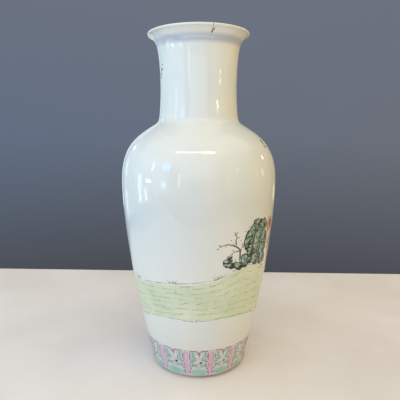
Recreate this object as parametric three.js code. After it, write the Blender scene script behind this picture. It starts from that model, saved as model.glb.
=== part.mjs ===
// A tall baluster vase in porcelain, built as a potter builds one this size: four thrown sections, each
// turned to a rebated edge, stacked on its neighbour and luted to it with a ring of slip.
// Millimetres, +Z up, origin at the centre of the circle the foot stands on.
import * as THREE from "three";

// Overall form, outside
const HEIGHT = 450;
const STANDING_RADIUS = 61.5; // outer edge of the ring that touches the table
const HEEL_RADIUS = 67.5; // top of the pared bevel above that ring
const HEEL_HEIGHT = 13;
const HEEL_FLARE = 0.27; // radius gained per millimetre of height where the wall leaves the heel
const BELLY_RADIUS = 104.6;
const BELLY_HEIGHT = 256;
const NECK_RADIUS = 50.7; // narrowest part of the neck
const NECK_HEIGHT = 384;
const LIP_RADIUS = 66.8;

// Shoulder, collar and lip
const COLLAR_RADIUS = 57.5; // where the shoulder's slope turns up into the neck
const COLLAR_HEIGHT = 335;
const SHOULDER_SLOPE = 1.62; // radius lost per millimetre of height just under the collar
const COLLAR_RISE = 11.5; // height taken by the turn from shoulder to neck
const COLLAR_EASE = 0.6; // the turn's corner stands this far outside the neck's root
const NECK_SPREAD = 1.9; // how much wider the neck is at its root than at its narrowest
const LIP_THICKNESS = 3; // the lip's edge is a full round of this thickness
const LIP_DROP = 10.6; // height of the turned-out part of the lip
const LIP_THROAT = 57.1; // outside radius where the lip starts to turn out

// How far the handles of the outline's curves reach, as shares of the rise or the run they shape
const HEEL_REACH = 0.31; // up from the heel, and down from the belly, of the rise between them
const BELLY_DOWN_REACH = 0.25;
const BELLY_UP_REACH = 0.62; // up from the belly, and down from the collar, of the rise between them
const COLLAR_REACH = 0.23;
const ROOT_REACH = 0.27; // up from the neck's root, and down from its narrowest, of the rise between them
const NECK_DOWN_REACH = 0.36;
const ROOT_LEAN = 0.55; // share of the neck's spread that is lost by the first of those handles
const NECK_UP_REACH = 0.39; // up from the narrowest, and down from the lip's throat, of the rise between them
const THROAT_REACH = 0.1;
const THROAT_LEAN = 0.28; // share of the neck's flare that is left inside the last of those handles
const LIP_LOW_HANDLE = { out: 0.28, up: 0.55 }; // shares of the lip's run and rise at its two handles
const LIP_HIGH_HANDLE = { out: 0.7, up: 0.97 };
const MOUTH_LOW_HANDLE = { out: 0.1, up: 0.73 }; // the same inside the mouth
const MOUTH_HIGH_HANDLE = { out: 0.58, up: 0.99 };
const HEEL_HANDLE = { down: 0.6, up: 0.4 }; // shares of the heel's height at the bevel's handle

// Walls and foot
const NECK_WALL = 5;
const BODY_WALL = 6.5;
const FOOT_WALL = 8.5;
const MOUTH_DEPTH = 26; // how far down the inside of the lip flares
const FLOOR_THICKNESS = 9;
const RECESS_DEPTH = 11; // the underside is cut back this far inside the foot ring
const FLOOR_FILLET = 16;
const FLOOR_TURN = 1.6; // the turn from wall to floor is this many times as wide as it is high
const STANDING_WIDTH = 5.5; // flat width of the standing ring
const RING_CHAMFER = 1.6; // pared inner edge of the standing ring
const RING_DRAFT = 1.2; // how much the ring thickens from its edge to the underside
const RECESS_FILLET = 3.5;
const RECESS_LEAN = 0.4; // share of the ring's draft taken up by that fillet

// Luted joints
const FOOT_SEAM = 46;
const WAIST_SEAM = 232;
const NECK_SEAM = 348;
const SLIP = 0.6; // thickness of slip between two sections
const TONGUE_HEIGHT = 5; // the lower section's inner half stands up inside the upper one
const TONGUE_SHARE = 0.5; // share of the wall that the tongue takes
const BEAD_HEIGHT = 4; // squeezed-out slip above and below the joint, wiped to a low bead
const BEAD_PROUD = 1.4;

// Facets
const AROUND = 48; // round the axis
const GENTLE_STEP = 24; // length of a facet up a nearly straight wall
const ROUND_STEP = 9.5; // the same round the shoulder and up the neck
const LIP_STEP = 4.5; // the same in the mouth and under the lip
const FINE = 60; // samples of each curve when a height is looked up on an outline
const LIP_FACETS = 5;
const HEEL_FACETS = 4;
const FLOOR_FACETS = 4;
const FILLET_FACETS = 3;

const GLAZE = new THREE.MeshStandardMaterial({ color: 0xe6e8e2, roughness: 0.12, metalness: 0 });
const SLIP_CLAY = new THREE.MeshStandardMaterial({ color: 0xdcdcd2, roughness: 0.5, metalness: 0 });

const point = (radius, height) => new THREE.Vector2(radius, height);

// A curve that climbs and turns outwards, with its handles given as shares of its run and its rise.
function flareBetween(low, high, lowHandle, highHandle) {
  const at = ({ out, up }) => {
    return point(THREE.MathUtils.lerp(low.x, high.x, out), THREE.MathUtils.lerp(low.y, high.y, up));
  };
  return new THREE.CubicBezierCurve(low, at(lowHandle), at(highHandle), high);
}

// The outside from the heel to the underside of the lip, as curves in (radius, height). Every
// curve climbs, so each height has one radius.
function outsideCurves() {
  const heel = point(HEEL_RADIUS, HEEL_HEIGHT);
  const belly = point(BELLY_RADIUS, BELLY_HEIGHT);
  const collar = point(COLLAR_RADIUS, COLLAR_HEIGHT);
  const neckRoot = point(NECK_RADIUS + NECK_SPREAD, COLLAR_HEIGHT + COLLAR_RISE);
  const neck = point(NECK_RADIUS, NECK_HEIGHT);
  const throat = point(LIP_THROAT, HEIGHT - LIP_DROP);
  const underLip = point(LIP_RADIUS - LIP_THICKNESS / 2, HEIGHT - LIP_THICKNESS);

  const bodyRise = BELLY_HEIGHT - HEEL_HEIGHT;
  const shoulderRise = COLLAR_HEIGHT - BELLY_HEIGHT;
  const neckRise = HEIGHT - LIP_DROP - NECK_HEIGHT;
  const heelHandle = HEEL_REACH * bodyRise;
  const slopeHandle = COLLAR_REACH * shoulderRise;
  const cornerRise = (COLLAR_RADIUS - neckRoot.x - COLLAR_EASE) / SHOULDER_SLOPE;
  const rootRise = NECK_HEIGHT - neckRoot.y;

  return [
    new THREE.CubicBezierCurve(
      heel,
      point(heel.x + HEEL_FLARE * heelHandle, heel.y + heelHandle),
      point(belly.x, belly.y - BELLY_DOWN_REACH * bodyRise),
      belly,
    ),
    new THREE.CubicBezierCurve(
      belly,
      point(belly.x, belly.y + BELLY_UP_REACH * shoulderRise),
      point(collar.x + SHOULDER_SLOPE * slopeHandle, collar.y - slopeHandle),
      collar,
    ),
    new THREE.QuadraticBezierCurve(collar, point(neckRoot.x + COLLAR_EASE, collar.y + cornerRise), neckRoot),
    new THREE.CubicBezierCurve(
      neckRoot,
      point(neckRoot.x - ROOT_LEAN * NECK_SPREAD, neckRoot.y + ROOT_REACH * rootRise),
      point(neck.x, neck.y - NECK_DOWN_REACH * rootRise),
      neck,
    ),
    new THREE.CubicBezierCurve(
      neck,
      point(neck.x, neck.y + NECK_UP_REACH * neckRise),
      point(neck.x + THROAT_LEAN * (throat.x - neck.x), throat.y - THROAT_REACH * neckRise),
      throat,
    ),
    flareBetween(throat, underLip, LIP_LOW_HANDLE, LIP_HIGH_HANDLE),
  ];
}

// Wall thickness at a height: it thins evenly from foot to neck.
function wallAt(height) {
  const body = THREE.MathUtils.inverseLerp(FOOT_SEAM, WAIST_SEAM, height);
  const shoulder = THREE.MathUtils.inverseLerp(WAIST_SEAM, NECK_SEAM, height);
  const atWaist = THREE.MathUtils.lerp(FOOT_WALL, BODY_WALL, THREE.MathUtils.clamp(body, 0, 1));
  return THREE.MathUtils.lerp(atWaist, NECK_WALL, THREE.MathUtils.clamp(shoulder, 0, 1));
}

// An outline is a polyline that climbs all the way.
function polylineOf(curves) {
  const points = [];
  for (const curve of curves) points.push(...curve.getPoints(FINE).slice(points.length ? 1 : 0));
  return points;
}

// The inside of the wall: every outside point moved square to the outline by the wall's thickness.
function insetBy(outline) {
  return outline.map((here, i) => {
    const before = outline[Math.max(i - 1, 0)];
    const after = outline[Math.min(i + 1, outline.length - 1)];
    const along = after.clone().sub(before).normalize();
    return point(here.x - along.y * wallAt(here.y), here.y + along.x * wallAt(here.y));
  });
}

// The flare inside the mouth, from the neck's bore up to the top of the lip.
function mouthCurve(bore) {
  const low = point(bore, HEIGHT - MOUTH_DEPTH);
  const top = point(LIP_RADIUS - LIP_THICKNESS / 2, HEIGHT);
  return flareBetween(low, top, MOUTH_LOW_HANDLE, MOUTH_HIGH_HANDLE);
}

function radiusAt(outline, height) {
  const above = outline.findIndex((p) => p.y >= height);
  if (above <= 0) return outline[above === 0 ? 0 : outline.length - 1].x;
  const [low, high] = [outline[above - 1], outline[above]];
  return THREE.MathUtils.mapLinear(height, low.y, high.y, low.x, high.x);
}

// Points evenly spaced along an outline between two heights, about a step apart, both ends included.
function stretch(outline, from, to, step) {
  const inside = outline.filter((p) => p.y > from && p.y < to);
  const all = [point(radiusAt(outline, from), from), ...inside, point(radiusAt(outline, to), to)];
  const run = [0];
  for (let i = 1; i < all.length; i++) run.push(run[i - 1] + all[i].distanceTo(all[i - 1]));
  const total = run[run.length - 1];
  const count = Math.max(2, Math.round(total / step));
  const picked = [all[0]];
  for (let k = 1; k < count; k++) {
    const goal = (total * k) / count;
    const next = run.findIndex((s) => s >= goal);
    picked.push(all[next - 1].clone().lerp(all[next], (goal - run[next - 1]) / (run[next] - run[next - 1])));
  }
  return [...picked, all[all.length - 1]];
}

const OUTSIDE = polylineOf(outsideCurves());
const WALL_INSIDE = insetBy(OUTSIDE);
const BORE = radiusAt(WALL_INSIDE, HEIGHT - MOUTH_DEPTH);
const INSIDE = [
  ...WALL_INSIDE.filter((p) => p.y < HEIGHT - MOUTH_DEPTH),
  ...mouthCurve(BORE).getPoints(FINE),
];
const FLOOR_HEIGHT = RECESS_DEPTH + FLOOR_THICKNESS;

// The corners of one luted joint. The lower section ends in a shelf with a tongue standing up along
// its inside; the upper one is rebated to sit over it, and slip fills the space between.
function jointAt(seam) {
  const shelfOut = point(radiusAt(OUTSIDE, seam), seam);
  const skirtOut = point(radiusAt(OUTSIDE, seam + SLIP), seam + SLIP);
  const tongueTop = seam + TONGUE_HEIGHT;
  const rebateTop = tongueTop + SLIP;
  const tongueIn = point(radiusAt(INSIDE, tongueTop), tongueTop);
  const rebateIn = point(radiusAt(INSIDE, rebateTop), rebateTop);
  const beadLow = point(radiusAt(INSIDE, tongueTop - BEAD_HEIGHT), tongueTop - BEAD_HEIGHT);
  const beadHigh = point(radiusAt(INSIDE, rebateTop + BEAD_HEIGHT), rebateTop + BEAD_HEIGHT);
  const narrow = Math.min(shelfOut.x, radiusAt(OUTSIDE, rebateTop));
  const wide = Math.max(radiusAt(INSIDE, seam), rebateIn.x);
  const tongueOut = wide + (narrow - wide) * TONGUE_SHARE;
  return {
    shelfOut,
    shelfIn: point(tongueOut, seam),
    tongueOut: point(tongueOut, tongueTop),
    tongueIn,
    beadLow,
    skirtOut,
    skirtIn: point(tongueOut + SLIP, seam + SLIP),
    rebateOut: point(tongueOut + SLIP, rebateTop),
    rebateIn,
    beadHigh,
  };
}

const FOOT_JOINT = jointAt(FOOT_SEAM);
const WAIST_JOINT = jointAt(WAIST_SEAM);
const NECK_JOINT = jointAt(NECK_SEAM);

// The lower section's edge at a joint, walked from the outside in.
function shelfAndTongue({ shelfOut, shelfIn, tongueOut, tongueIn, beadLow }) {
  return [shelfOut, shelfIn, tongueOut, tongueIn, beadLow];
}

// The upper section's edge at a joint, walked from the inside out.
function rebateAndSkirt({ beadHigh, rebateIn, rebateOut, skirtIn, skirtOut }) {
  return [beadHigh, rebateIn, rebateOut, skirtIn, skirtOut];
}

// Turns a profile of (radius, height) points about the vertical axis.
function thrown(name, profile, material) {
  const geometry = new THREE.LatheGeometry(profile, AROUND);
  geometry.rotateX(Math.PI / 2);
  const mesh = new THREE.Mesh(geometry, material);
  mesh.name = name;
  return mesh;
}

const closed = (profile) => [...profile, profile[0]];

// A ring between two joints: outside going up, the upper joint, inside coming down, the lower joint.
function ringSection(name, low, high, step) {
  const outer = stretch(OUTSIDE, low.skirtOut.y, high.shelfOut.y, step).slice(1, -1);
  const inner = stretch(INSIDE, low.beadHigh.y, high.beadLow.y, step).slice(1, -1).reverse();
  return thrown(
    name,
    closed([low.skirtOut, ...outer, ...shelfAndTongue(high), ...inner, ...rebateAndSkirt(low).slice(0, -1)]),
    GLAZE,
  );
}

// The neck with its everted lip, in one throwing.
function neckAndLip() {
  const throat = HEIGHT - LIP_DROP;
  const underLip = HEIGHT - LIP_THICKNESS;
  const edge = new THREE.EllipseCurve(
    LIP_RADIUS - LIP_THICKNESS / 2,
    HEIGHT - LIP_THICKNESS / 2,
    LIP_THICKNESS / 2,
    LIP_THICKNESS / 2,
    -Math.PI / 2,
    Math.PI / 2,
  );
  const outer = [
    ...stretch(OUTSIDE, NECK_JOINT.skirtOut.y, throat, ROUND_STEP).slice(1),
    ...stretch(OUTSIDE, throat, underLip, LIP_STEP).slice(1, -1),
    ...edge.getPoints(LIP_FACETS),
  ];
  const mouthFoot = HEIGHT - MOUTH_DEPTH;
  const mouth = stretch(INSIDE, mouthFoot, HEIGHT, LIP_STEP).slice(0, -1).reverse();
  const bore = stretch(INSIDE, NECK_JOINT.beadHigh.y, mouthFoot, GENTLE_STEP).slice(1, -1).reverse();
  return thrown(
    "neck_and_lip",
    closed([NECK_JOINT.skirtOut, ...outer, ...mouth, ...bore, ...rebateAndSkirt(NECK_JOINT).slice(0, -1)]),
    GLAZE,
  );
}

// The bevel pared round the heel, from the standing ring up to where the wall begins.
function heelCurve() {
  return new THREE.QuadraticBezierCurve(
    point(STANDING_RADIUS, 0),
    point(HEEL_RADIUS - HEEL_FLARE * HEEL_HEIGHT * HEEL_HANDLE.down, HEEL_HEIGHT * HEEL_HANDLE.up),
    point(HEEL_RADIUS, HEEL_HEIGHT),
  );
}

// Foot ring, floor and the first of the wall, thrown thick and turned from underneath.
function footAndBase() {
  const ringInner = STANDING_RADIUS - STANDING_WIDTH;
  const recessRadius = ringInner - RING_CHAMFER - RING_DRAFT;
  const fillet = new THREE.QuadraticBezierCurve(
    point(recessRadius - RECESS_FILLET, RECESS_DEPTH),
    point(recessRadius, RECESS_DEPTH),
    point(recessRadius + RING_DRAFT * RECESS_LEAN, RECESS_DEPTH - RECESS_FILLET),
  );
  const wallFoot = FLOOR_HEIGHT + FLOOR_FILLET;
  const wallRadius = radiusAt(INSIDE, wallFoot);
  const floorTurn = new THREE.QuadraticBezierCurve(
    point(wallRadius, wallFoot),
    point(wallRadius - HEEL_FLARE * FLOOR_FILLET, FLOOR_HEIGHT),
    point(wallRadius - FLOOR_TURN * FLOOR_FILLET, FLOOR_HEIGHT),
  );
  return thrown(
    "foot_and_base",
    [
      point(0, RECESS_DEPTH),
      ...fillet.getPoints(FILLET_FACETS),
      point(ringInner - RING_CHAMFER, RING_CHAMFER),
      point(ringInner, 0),
      ...heelCurve().getPoints(HEEL_FACETS),
      ...stretch(OUTSIDE, HEEL_HEIGHT, FOOT_SEAM, ROUND_STEP).slice(1, -1),
      ...shelfAndTongue(FOOT_JOINT),
      ...floorTurn.getPoints(FLOOR_FACETS),
      point(0, FLOOR_HEIGHT),
    ],
    GLAZE,
  );
}

// The slip that fills a joint, with the bead it squeezed out along the inside.
function lutingRing(name, joint) {
  const bead = new THREE.QuadraticBezierCurve(
    joint.beadHigh,
    joint.rebateIn
      .clone()
      .lerp(joint.tongueIn, 0.5)
      .sub(point(2 * BEAD_PROUD, 0)),
    joint.beadLow,
  );
  return thrown(
    name,
    closed([
      joint.shelfOut,
      joint.skirtOut,
      joint.skirtIn,
      joint.rebateOut,
      joint.rebateIn,
      ...bead.getPoints(FILLET_FACETS),
      joint.tongueIn,
      joint.tongueOut,
      joint.shelfIn,
    ]),
    SLIP_CLAY,
  );
}

const vase = new THREE.Group();
vase.add(
  footAndBase(),
  lutingRing("foot_luting_ring", FOOT_JOINT),
  ringSection("lower_body", FOOT_JOINT, WAIST_JOINT, GENTLE_STEP),
  lutingRing("waist_luting_ring", WAIST_JOINT),
  ringSection("upper_body", WAIST_JOINT, NECK_JOINT, ROUND_STEP),
  lutingRing("neck_luting_ring", NECK_JOINT),
  neckAndLip(),
);

export default vase;
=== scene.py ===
"""A baluster vase in white porcelain, painted in overglaze enamels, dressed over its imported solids.

Lengths inside the classes are millimetres and angles are degrees, counted from the front of the vase
towards its right-hand side. Everything becomes metres where it is placed on the glaze.
"""
import logging
import math
from collections.abc import Sequence
from dataclasses import dataclass, field
from enum import Enum
from functools import cache, cached_property

import bpy
import numpy as np
from mathutils import Matrix, Vector


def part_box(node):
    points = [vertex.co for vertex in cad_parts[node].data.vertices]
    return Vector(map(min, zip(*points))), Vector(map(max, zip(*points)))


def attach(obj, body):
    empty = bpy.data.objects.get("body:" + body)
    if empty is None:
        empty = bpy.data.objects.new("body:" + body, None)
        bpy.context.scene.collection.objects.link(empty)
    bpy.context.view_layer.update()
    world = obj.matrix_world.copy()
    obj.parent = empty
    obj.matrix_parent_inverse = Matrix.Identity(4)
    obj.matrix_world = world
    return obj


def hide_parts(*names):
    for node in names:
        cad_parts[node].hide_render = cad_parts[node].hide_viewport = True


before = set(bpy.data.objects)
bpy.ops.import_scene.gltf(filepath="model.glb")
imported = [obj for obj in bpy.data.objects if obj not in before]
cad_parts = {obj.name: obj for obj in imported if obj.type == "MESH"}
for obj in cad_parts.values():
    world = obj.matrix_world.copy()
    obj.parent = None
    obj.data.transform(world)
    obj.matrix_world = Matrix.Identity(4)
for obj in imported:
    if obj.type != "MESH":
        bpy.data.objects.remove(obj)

LOG = logging.getLogger("vase")
MM = 0.001
TURN = 2 * math.pi
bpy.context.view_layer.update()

Array = np.ndarray
Colour = tuple[float, float, float]
Point = tuple[float, float]
Draws = np.random.Generator
Piece = bpy.types.Object
Socket = bpy.types.NodeSocket
Term = Socket | Colour | float


def srgb(red: int, green: int, blue: int) -> Colour:
    """A colour given as a painter's chart gives it, made linear: the 2.4 power law above a short foot.

    Args:
        red, green, blue: Levels from 0 to 255.

    Returns:
        The linear colour.
    """
    levels = np.array([red, green, blue]) / 255.0
    linear = np.where(levels <= 0.04045, levels / 12.92, ((levels + 0.055) / 1.055) ** 2.4)
    return tuple(float(level) for level in linear)


# Curves


def pair(first: Array, second: Array) -> Array:
    """Two arrays as one of places, side by side on a last axis."""
    return np.stack([first, second], axis=-1)


def bezier(*handles: Point, count: int = 33) -> Array:
    """Points on a Bezier curve: the handles summed with the weights C(n, k) t^k (1 - t)^(n - k).

    Args:
        handles: The curve's ends and handles, in order.
        count: How many points.

    Returns:
        An array of (count, 2).
    """
    order = len(handles) - 1
    share = np.linspace(0.0, 1.0, count)[:, None]
    power = np.arange(order + 1)
    weights = np.array([math.comb(order, k) for k in power]) * share**power * (1 - share) ** (order - power)
    return weights @ np.array(handles, float)


def through(points: Sequence[Point], count: int) -> Array:
    """A smooth line through some points, by the Catmull-Rom blend of each point with its neighbours.

    Args:
        points: The points.
        count: How many points to return.

    Returns:
        An array of (count, 2), evenly spaced in the line's parameter.
    """
    points = np.array(points, float)
    held = np.vstack([2 * points[0] - points[1], points, 2 * points[-1] - points[-2]])
    place = np.linspace(0.0, len(points) - 1.0, count)
    span = np.minimum(place.astype(int), len(points) - 2)
    t = (place - span)[:, None]
    before, here, there, after = (held[span + step] for step in range(4))
    return 0.5 * (
        2 * here
        + (there - before) * t
        + (2 * before - 5 * here + 4 * there - after) * t**2
        + (3 * here - before - 3 * there + after) * t**3
    )


def spaced(points: Array, step: float) -> Array:
    """The same polyline with its points evenly spaced along its length.

    Args:
        points: The polyline, an array of (number, 2).
        step: The spacing wanted; the ends stay where they are.

    Returns:
        The new polyline.
    """
    run = np.concatenate([[0.0], np.cumsum(np.hypot(*np.diff(points, axis=0).T))])
    goal = np.linspace(0.0, run[-1], max(2, int(round(run[-1] / step)) + 1))
    return np.column_stack([np.interp(goal, run, points[:, 0]), np.interp(goal, run, points[:, 1])])


def wrapped(angle: Array) -> Array:
    """Angles in degrees brought between -180 and 180."""
    return (angle + 180.0) % 360.0 - 180.0


def turned(radius: Array, angle: Array, level: Array) -> Array:
    """Points turned about the vase's axis: the sine of the angle goes to the right, its cosine to the front.

    Args:
        radius, level: Millimetres from the axis and above the table.
        angle: Radians from the front.

    Returns:
        Points in metres, with a last axis of three.
    """
    return np.stack(np.broadcast_arrays(radius * np.sin(angle), -radius * np.cos(angle), level), axis=-1) * MM


@dataclass(frozen=True)
class Outline:
    """The vase's section, from the same sizes and curves as its solids, as points of (radius, height)."""

    height: float = 450.0
    standing_radius: float = 61.5
    heel: Point = (67.5, 13.0)
    heel_flare: float = 0.27
    belly: Point = (104.6, 256.0)
    collar: Point = (57.5, 335.0)
    shoulder_slope: float = 1.62
    neck_root: Point = (52.6, 346.5)
    collar_ease: float = 0.6
    neck: Point = (50.7, 384.0)
    throat: Point = (57.1, 439.4)
    lip_radius: float = 66.8
    lip_thickness: float = 3.0
    walls: tuple[float, float, float] = (8.5, 6.5, 5.0)
    seams: tuple[float, float, float] = (46.0, 232.0, 348.0)
    mouth_depth: float = 26.0
    floor_height: float = 20.0
    floor_fillet: float = 16.0
    floor_turn: float = 1.6
    recess_depth: float = 11.0
    recess_fillet: float = 3.5
    standing_width: float = 5.5
    ring_chamfer: float = 1.6
    ring_draft: float = 1.2
    draft_share: float = 0.4
    heel_handle: Point = (0.6, 0.4)
    body_reach: Point = (0.31, 0.25)
    shoulder_reach: Point = (0.62, 0.23)
    root_handles: tuple[Point, Point] = ((0.55, 0.27), (1.0, 0.64))
    neck_handles: tuple[Point, Point] = ((0.0, 0.39), (0.28, 0.9))
    lip_handles: tuple[Point, Point] = ((0.28, 0.55), (0.7, 0.97))
    mouth_handles: tuple[Point, Point] = ((0.1, 0.73), (0.58, 0.99))
    end_spacing: float = 2.0
    crest_spacing: float = 0.6

    @staticmethod
    def rising(low: Point, high: Point, handles: tuple[Point, Point], count: int = 33) -> Array:
        """A Bezier curve from one point up to another.

        Args:
            low, high: Its ends.
            handles: Its two handles, as shares of its run and its rise.
            count: How many points.

        Returns:
            The points.
        """
        at = [tuple(a + (b - a) * share for a, b, share in zip(low, high, handle)) for handle in handles]
        return bezier(low, *at, high, count=count)

    @cached_property
    def under_lip(self) -> float:
        """Height where the lip's rounded edge begins."""
        return self.height - self.lip_thickness

    @cached_property
    def outside(self) -> Array:
        """The outside from the heel to the crest of the lip: Bezier curves end to end, then a half round.

        Returns:
            The points.
        """
        (hr, hz), (br, bz), (cr, cz), (rr, _) = self.heel, self.belly, self.collar, self.neck_root
        half = self.lip_thickness / 2
        edge_foot = (self.lip_radius - half, self.under_lip)
        climb, rise = bz - hz, cz - bz
        up, down = self.body_reach
        lean = self.heel_flare * up * climb
        body = bezier(self.heel, (hr + lean, hz + up * climb), (br, bz - down * climb), self.belly, count=97)
        up, down = self.shoulder_reach
        slope = self.shoulder_slope * down * rise
        shoulder = bezier(self.belly, (br, bz + up * rise), (cr + slope, cz - down * rise), self.collar, count=65)
        corner = (rr + self.collar_ease, cz + (cr - rr - self.collar_ease) / self.shoulder_slope)
        collar = bezier(self.collar, corner, self.neck_root)
        root = self.rising(self.neck_root, self.neck, self.root_handles)
        neck = self.rising(self.neck, self.throat, self.neck_handles)
        lip = self.rising(self.throat, edge_foot, self.lip_handles, 17)
        bend = np.linspace(-math.pi / 2, math.pi / 2, 15)
        edge = np.column_stack([edge_foot[0] + half * np.cos(bend), edge_foot[1] + half * (1 + np.sin(bend))])
        return np.vstack([body, *(curve[1:] for curve in (shoulder, collar, root, neck, lip, edge))])

    @cached_property
    def inside(self) -> Array:
        """The inside from the foot of the wall to the crest of the lip: the outside moved square to itself
        by a wall that thins evenly from the foot to the neck, then the flare of the mouth.

        Returns:
            The points.
        """
        outer = self.outside[self.outside[:, 1] < self.under_lip]
        along = np.gradient(outer, axis=0)
        along /= np.hypot(*along.T)[:, None]
        wall = np.interp(outer[:, 1], self.seams, self.walls)[:, None]
        inner = outer + wall * np.column_stack([-along[:, 1], along[:, 0]])
        inner = inner[inner[:, 1] < self.height - self.mouth_depth]
        low = (float(inner[-1, 0]), self.height - self.mouth_depth)
        top = (self.lip_radius - self.lip_thickness / 2, self.height)
        return np.vstack([inner, self.rising(low, top, self.mouth_handles)])

    def section(self, outside_step: float, inside_step: float, fine_step: float) -> Array:
        """The whole section, from the middle of the floor inside, over the lip, to the middle underneath.

        Args:
            outside_step, inside_step: Spacing of points on the two sides of the wall.
            fine_step: Spacing round the lip, the heel and the foot ring.

        Returns:
            The points of (radius, height), with both ends on the axis.
        """
        floor, bell = self.floor_height, self.throat[1]
        wall_foot = floor + self.floor_fillet
        wall_radius = float(np.interp(wall_foot, self.inside[:, 1], self.inside[:, 0]))
        bend = bezier(
            (wall_radius - self.floor_turn * self.floor_fillet, floor),
            (wall_radius - self.heel_flare * self.floor_fillet, floor),
            (wall_radius, wall_foot),
        )
        rise = self.inside[self.inside[:, 1] > wall_foot]
        down = self.outside[::-1]
        level = down[:, 1]
        (heel_radius, heel_height), (lean, drop) = self.heel, self.heel_handle
        under_heel = (heel_radius - self.heel_flare * heel_height * lean, heel_height * drop)
        heel = bezier(self.heel, under_heel, (self.standing_radius, 0.0))
        ring_inner = self.standing_radius - self.standing_width
        chamfer = (ring_inner - self.ring_chamfer, self.ring_chamfer)
        recess = chamfer[0] - self.ring_draft
        fillet = bezier(
            (recess + self.ring_draft * self.draft_share, self.recess_depth - self.recess_fillet),
            (recess, self.recess_depth),
            (recess - self.recess_fillet, self.recess_depth),
        )
        stretches = (
            ([(0.0, floor), bend[0]], inside_step * self.end_spacing),
            (bend, inside_step),
            (np.vstack([bend[-1:], rise]), inside_step),
            (down[level >= self.under_lip], fine_step * self.crest_spacing),
            (down[(level <= self.under_lip) & (level >= bell)], fine_step),
            (down[level <= bell], outside_step),
            (heel, fine_step),
            ([(self.standing_radius, 0.0), (ring_inner, 0.0)], fine_step),
            ([(ring_inner, 0.0), chamfer], fine_step),
            ([chamfer, fillet[0]], fine_step),
            (fillet, fine_step),
            ([fillet[-1], (0.0, self.recess_depth)], inside_step * self.end_spacing),
        )
        lines = [spaced(np.array(line, float), step) for line, step in stretches]
        return np.vstack([lines[0], *(line[1:] for line in lines[1:])])


@dataclass(frozen=True)
class Chart:
    """Puts painted things on the glaze: a place is an angle, a height and a lift off the surface."""

    outline: Outline
    clearance: float = 0.05
    out_of_round: float = 0.1
    oval_phase: float = 0.6
    oval_rise: float = 140.0
    ridge: float = 0.03
    ridge_spacing: float = 9.0

    def radius(self, height: Array) -> Array:
        """The outline's radius at a height."""
        return np.interp(height, self.outline.outside[:, 1], self.outline.outside[:, 0])

    def per_degree(self, height: Array) -> Array:
        """Millimetres round the vase for one degree, at a height."""
        return self.radius(height) * math.pi / 180.0

    def shrink(self, angle: Array, height: Array) -> Array:
        """How far the glaze lies inside the true outline: a slow two-sided ovalling that changes with
        height, and the low spiral ridges that a thrower's fingers leave.

        Args:
            angle: Angles in radians.
            height: Heights in millimetres.

        Returns:
            Millimetres, never less than the clearance.
        """
        oval = 0.5 + 0.5 * np.sin(2 * angle + self.oval_phase) * np.cos(height / self.oval_rise)
        spiral = 0.5 + 0.5 * np.sin(TURN * height / self.ridge_spacing - angle)
        return self.clearance + self.out_of_round * oval + self.ridge * spiral

    def place(self, angle: Array, height: Array, lift: Array | float = 0.0) -> Array:
        """Points on or near the glaze: the outline's point moved square to the wall by the lift, then
        turned about the axis.

        Args:
            angle: Degrees from the front.
            height: Millimetres above the table.
            lift: Millimetres off the glaze.

        Returns:
            Points in metres, with a last axis of three.
        """
        angle, height = np.broadcast_arrays(np.radians(angle), height)
        outline = self.outline.outside
        slope = np.interp(height, outline[:, 1], np.gradient(outline[:, 0], outline[:, 1]))
        long = np.sqrt(1 + slope**2)
        radius = self.radius(height) + lift / long - self.shrink(angle, height)
        return turned(radius, angle, height - lift * slope / long)


# Meshes


def grid_faces(rows: int, columns: int, wrap_rows: bool, wrap_columns: bool) -> Array:
    """The four-sided faces of a grid of points, whose index is row times columns plus column.

    Args:
        rows, columns: The grid's size.
        wrap_rows, wrap_columns: Whether the last line joins the first again.

    Returns:
        An array of (faces, 4).
    """
    row = np.arange(rows if wrap_rows else rows - 1)[:, None]
    column = np.arange(columns if wrap_columns else columns - 1)[None, :]
    after_row, after_column = (row + 1) % rows, (column + 1) % columns
    corners = ((row, column), (row, after_column), (after_row, after_column), (after_row, column))
    return np.stack(np.broadcast_arrays(*(r * columns + c for r, c in corners)), axis=-1).reshape(-1, 4)


def volume(points: Array, quads: Array) -> float:
    """Six times the signed volume inside closed four-sided faces: triple products of their corners, summed."""
    a, b, c, d = (points[quads[:, k]] for k in range(4))
    return float(np.sum(a * np.cross(b, c)) + np.sum(a * np.cross(c, d)))


def make_piece(name: str, points: Array, blocks: list[Array], finish: "Finish", slot: str, **values: Array) -> Piece:
    """A finished piece of the vase, smooth-shaded, riding on its body.

    Args:
        name: The piece's name.
        points: Points in metres.
        blocks: Faces by point index, in blocks with the same number of corners.
        finish: Its finish.
        slot: Not used.
        values: A value for each point, under an attribute's name.

    Returns:
        The object.
    """
    mesh = bpy.data.meshes.new(name)
    mesh.vertices.add(len(points))
    mesh.vertices.foreach_set("co", points.astype(np.float32).reshape(-1))
    corners = np.concatenate([block.reshape(-1) for block in blocks]).astype(np.int32)
    sides = np.concatenate([np.full(len(block), block.shape[1]) for block in blocks])
    mesh.loops.add(len(corners))
    mesh.loops.foreach_set("vertex_index", corners)
    mesh.polygons.add(len(sides))
    mesh.polygons.foreach_set("loop_start", (np.cumsum(sides) - sides).astype(np.int32))
    mesh.update(calc_edges=True)
    mesh.validate()
    mesh.polygons.foreach_set("use_smooth", np.ones(len(mesh.polygons), bool))
    for key, value in values.items():
        mesh.attributes.new(key, "FLOAT", "POINT").data.foreach_set("value", value.astype(np.float32))
    mesh.set_sharp_from_angle(angle=math.radians(50.0))
    mesh.materials.append(finish.material())
    piece = bpy.data.objects.new(name, mesh)
    bpy.context.scene.collection.objects.link(piece)
    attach(piece, "root")
    LOG.info("%s: %d faces", name, len(mesh.polygons))
    return piece


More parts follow.
